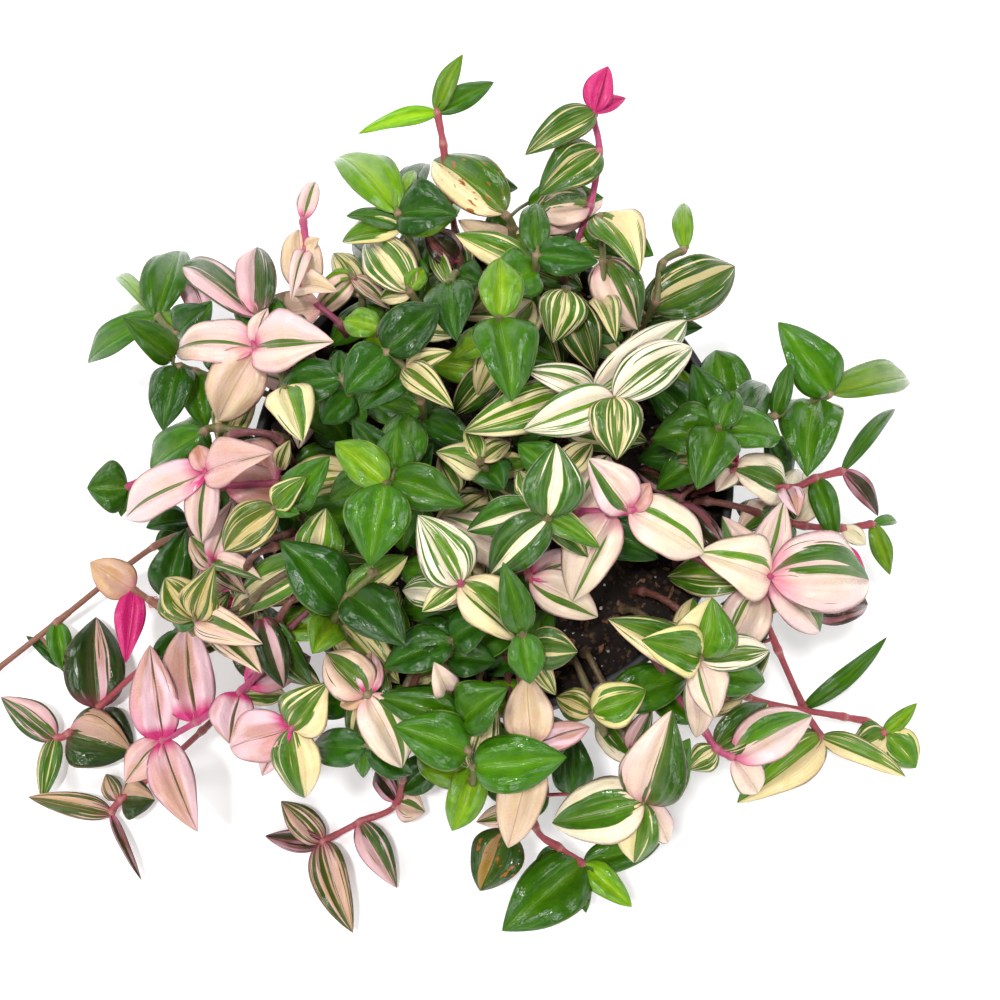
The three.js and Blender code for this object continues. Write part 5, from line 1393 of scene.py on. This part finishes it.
pieces = {}
for number, shoot in enumerate(shoots):
    grow(pieces.setdefault(shoot["owner"], Piece()), shoot, number)

for name, piece in pieces.items():
    made = piece.object(name.replace("stem_", "shoot_"), [leaf_top, leaf_under, sap.material])
    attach(made, "root")
    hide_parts(name)

# ---- Sheath hairs ---------------------------------------------------------------------------------
# Fine, pale hairs stand in a fringe round the mouth of every leaf sheath, and lean towards the growing tip.
# Each is a single stiff hair that grows from the stem's skin.
HAIR_LENGTH = 0.0017
HAIR_RADIUS = 0.00006
HAIRS_AT_JOINT = 11
SHORTEST_HAIR, LONGEST_HAIR = 0.5, 1.15
ROOT_SHARE = 0.9
OUTWARD_LEAN = 0.7


def fringe_at(spine, mark, radius):
    """The roots of the hairs round the mouth of one sheath, and the way that they lean."""
    way = spine[mark + 1] - spine[mark]
    way /= np.linalg.norm(way)
    side = np.cross(way, CROSSWAYS)
    side /= np.linalg.norm(side)
    turns = 2 * math.pi * np.arange(HAIRS_AT_JOINT)[:, None] / HAIRS_AT_JOINT
    outward = np.cos(turns) * side + np.sin(turns) * np.cross(way, side)
    return spine[mark] + ROOT_SHARE * radius * outward, OUTWARD_LEAN * outward - way


hair_roots, hair_leans = [], []
for shoot in shoots:
    spine, length = even_points(shoot["knots"], SPINE_STEP)
    radii, _, marks = stem_radii(spine, shoot["joints"], length)
    for mark in marks:
        root, leaning = fringe_at(spine, min(mark, len(spine) - 2), radii[mark])
        hair_roots.extend(root)
        hair_leans.extend(leaning)

down = Paint("sheath_hair", IOR=1.45)
silk = down.noise(down.place(), 3000.0, 2.0)
down.finish(down.mix(silk, (0.62, 0.60, 0.50), (0.80, 0.76, 0.68)), 0.4 + 0.2 * silk, silk, 0.02)

fringe = Growth("sheath_hairs", Hair_length=("Float", HAIR_LENGTH), Hair_radius=("Float", HAIR_RADIUS),
                Seed=("Int", 3))
hair = fringe.node("GeometryNodeMeshCone", {}, {
    "Vertices": 3, "Radius Top": 0.0, "Radius Bottom": fringe.given("Hair_radius"),
    "Depth": fringe.given("Hair_length")})
lean = fringe.node("GeometryNodeInputNamedAttribute", {"data_type": "FLOAT_VECTOR"}, {"Name": "lean"})
turn = fringe.node("FunctionNodeAlignRotationToVector", {"axis": "Z"}, {"Vector": lean})
length = fringe.node("FunctionNodeRandomValue", {"data_type": "FLOAT"}, {
    2: SHORTEST_HAIR, 3: LONGEST_HAIR, "Seed": fringe.given("Seed")}, 1)
hairs = fringe.node("GeometryNodeInstanceOnPoints", {}, {
    "Points": fringe.given("Ground"), "Instance": hair, "Rotation": turn, "Scale": length})
roots = bpy.data.meshes.new("hair_roots")
roots.from_pydata([tuple(root) for root in hair_roots], [], [])
roots.attributes.new("lean", "FLOAT_VECTOR", "POINT").data.foreach_set("vector", np.ravel(hair_leans))
fringe.piece(roots, hairs, down.material)

# ---- Floor and light ------------------------------------------------------------------------------
# The plant stands on a plain white sweep that glows faintly, painted light that lifts the shadows cast on it.
# Broad, soft, distant lamps stand in a ring round it, with one smaller lamp high over it for the glints on
# the leaves, in a room that is white up to the horizon.
FLOOR_REACH = 9
FLOOR_DROP = 0.0005
# The sweep's faint glow is painted light, which lifts the shadows cast on the floor.
chalk = Paint("white_sweep", IOR=1.4, Emission_Color=(1, 1, 1, 1), Emission_Strength=0.16)
tint = chalk.noise(chalk.place(), 3.0, 2.0)
chalk.finish(chalk.mix(tint, (0.90, 0.90, 0.90), (0.93, 0.93, 0.93)), 0.75 + 0.05 * tint, tint, 0.01)
floor = mesh_object("floor", [
    (x * FLOOR_REACH, y * FLOOR_REACH, -FLOOR_DROP) for x, y in ((-1, -1), (1, -1), (1, 1), (-1, 1))
], [(0, 1, 2, 3)], [chalk.material])


def lamp(name, turn, height, spread, strength):
    """A distant soft lamp, from a turn and a height in degrees. Its spread is how wide it looks."""
    data = bpy.data.lights.new(name, "SUN")
    data.angle = math.radians(spread)
    data.energy = strength
    made = bpy.data.objects.new(name, data)
    made.rotation_euler = (math.radians(90 - height), 0, math.radians(turn + 90))
    bpy.context.collection.objects.link(made)


for turn, strength in ((140, 1.2), (215, 0.8), (285, 0.8), (0, 0.8), (70, 0.9)):
    lamp(f"ring_lamp_{turn}", turn, height=47, spread=24, strength=strength)
lamp("near_lamp", turn=212, height=81, spread=5.5, strength=1.6)
room = bpy.data.worlds.new("white_room")
room.use_nodes = True
sky = room.node_tree
ray = sky.nodes.new("ShaderNodeTexCoord")
split = sky.nodes.new("ShaderNodeSeparateXYZ")
fade = sky.nodes.new("ShaderNodeMapRange")
for socket, value in (("From Min", 0.03), ("From Max", 0.5), ("To Min", 0.95), ("To Max", 0.06)):
    fade.inputs[socket].default_value = value
sky.links.new(ray.outputs["Generated"], split.inputs[0])
sky.links.new(split.outputs["Z"], fade.inputs["Value"])
sky.links.new(fade.outputs[0], sky.nodes["Background"].inputs["Strength"])
sky.nodes["Background"].inputs["Color"].default_value = (1, 1, 1, 1)
bpy.context.scene.world = room
bpy.context.scene.view_settings.view_transform = "Standard"
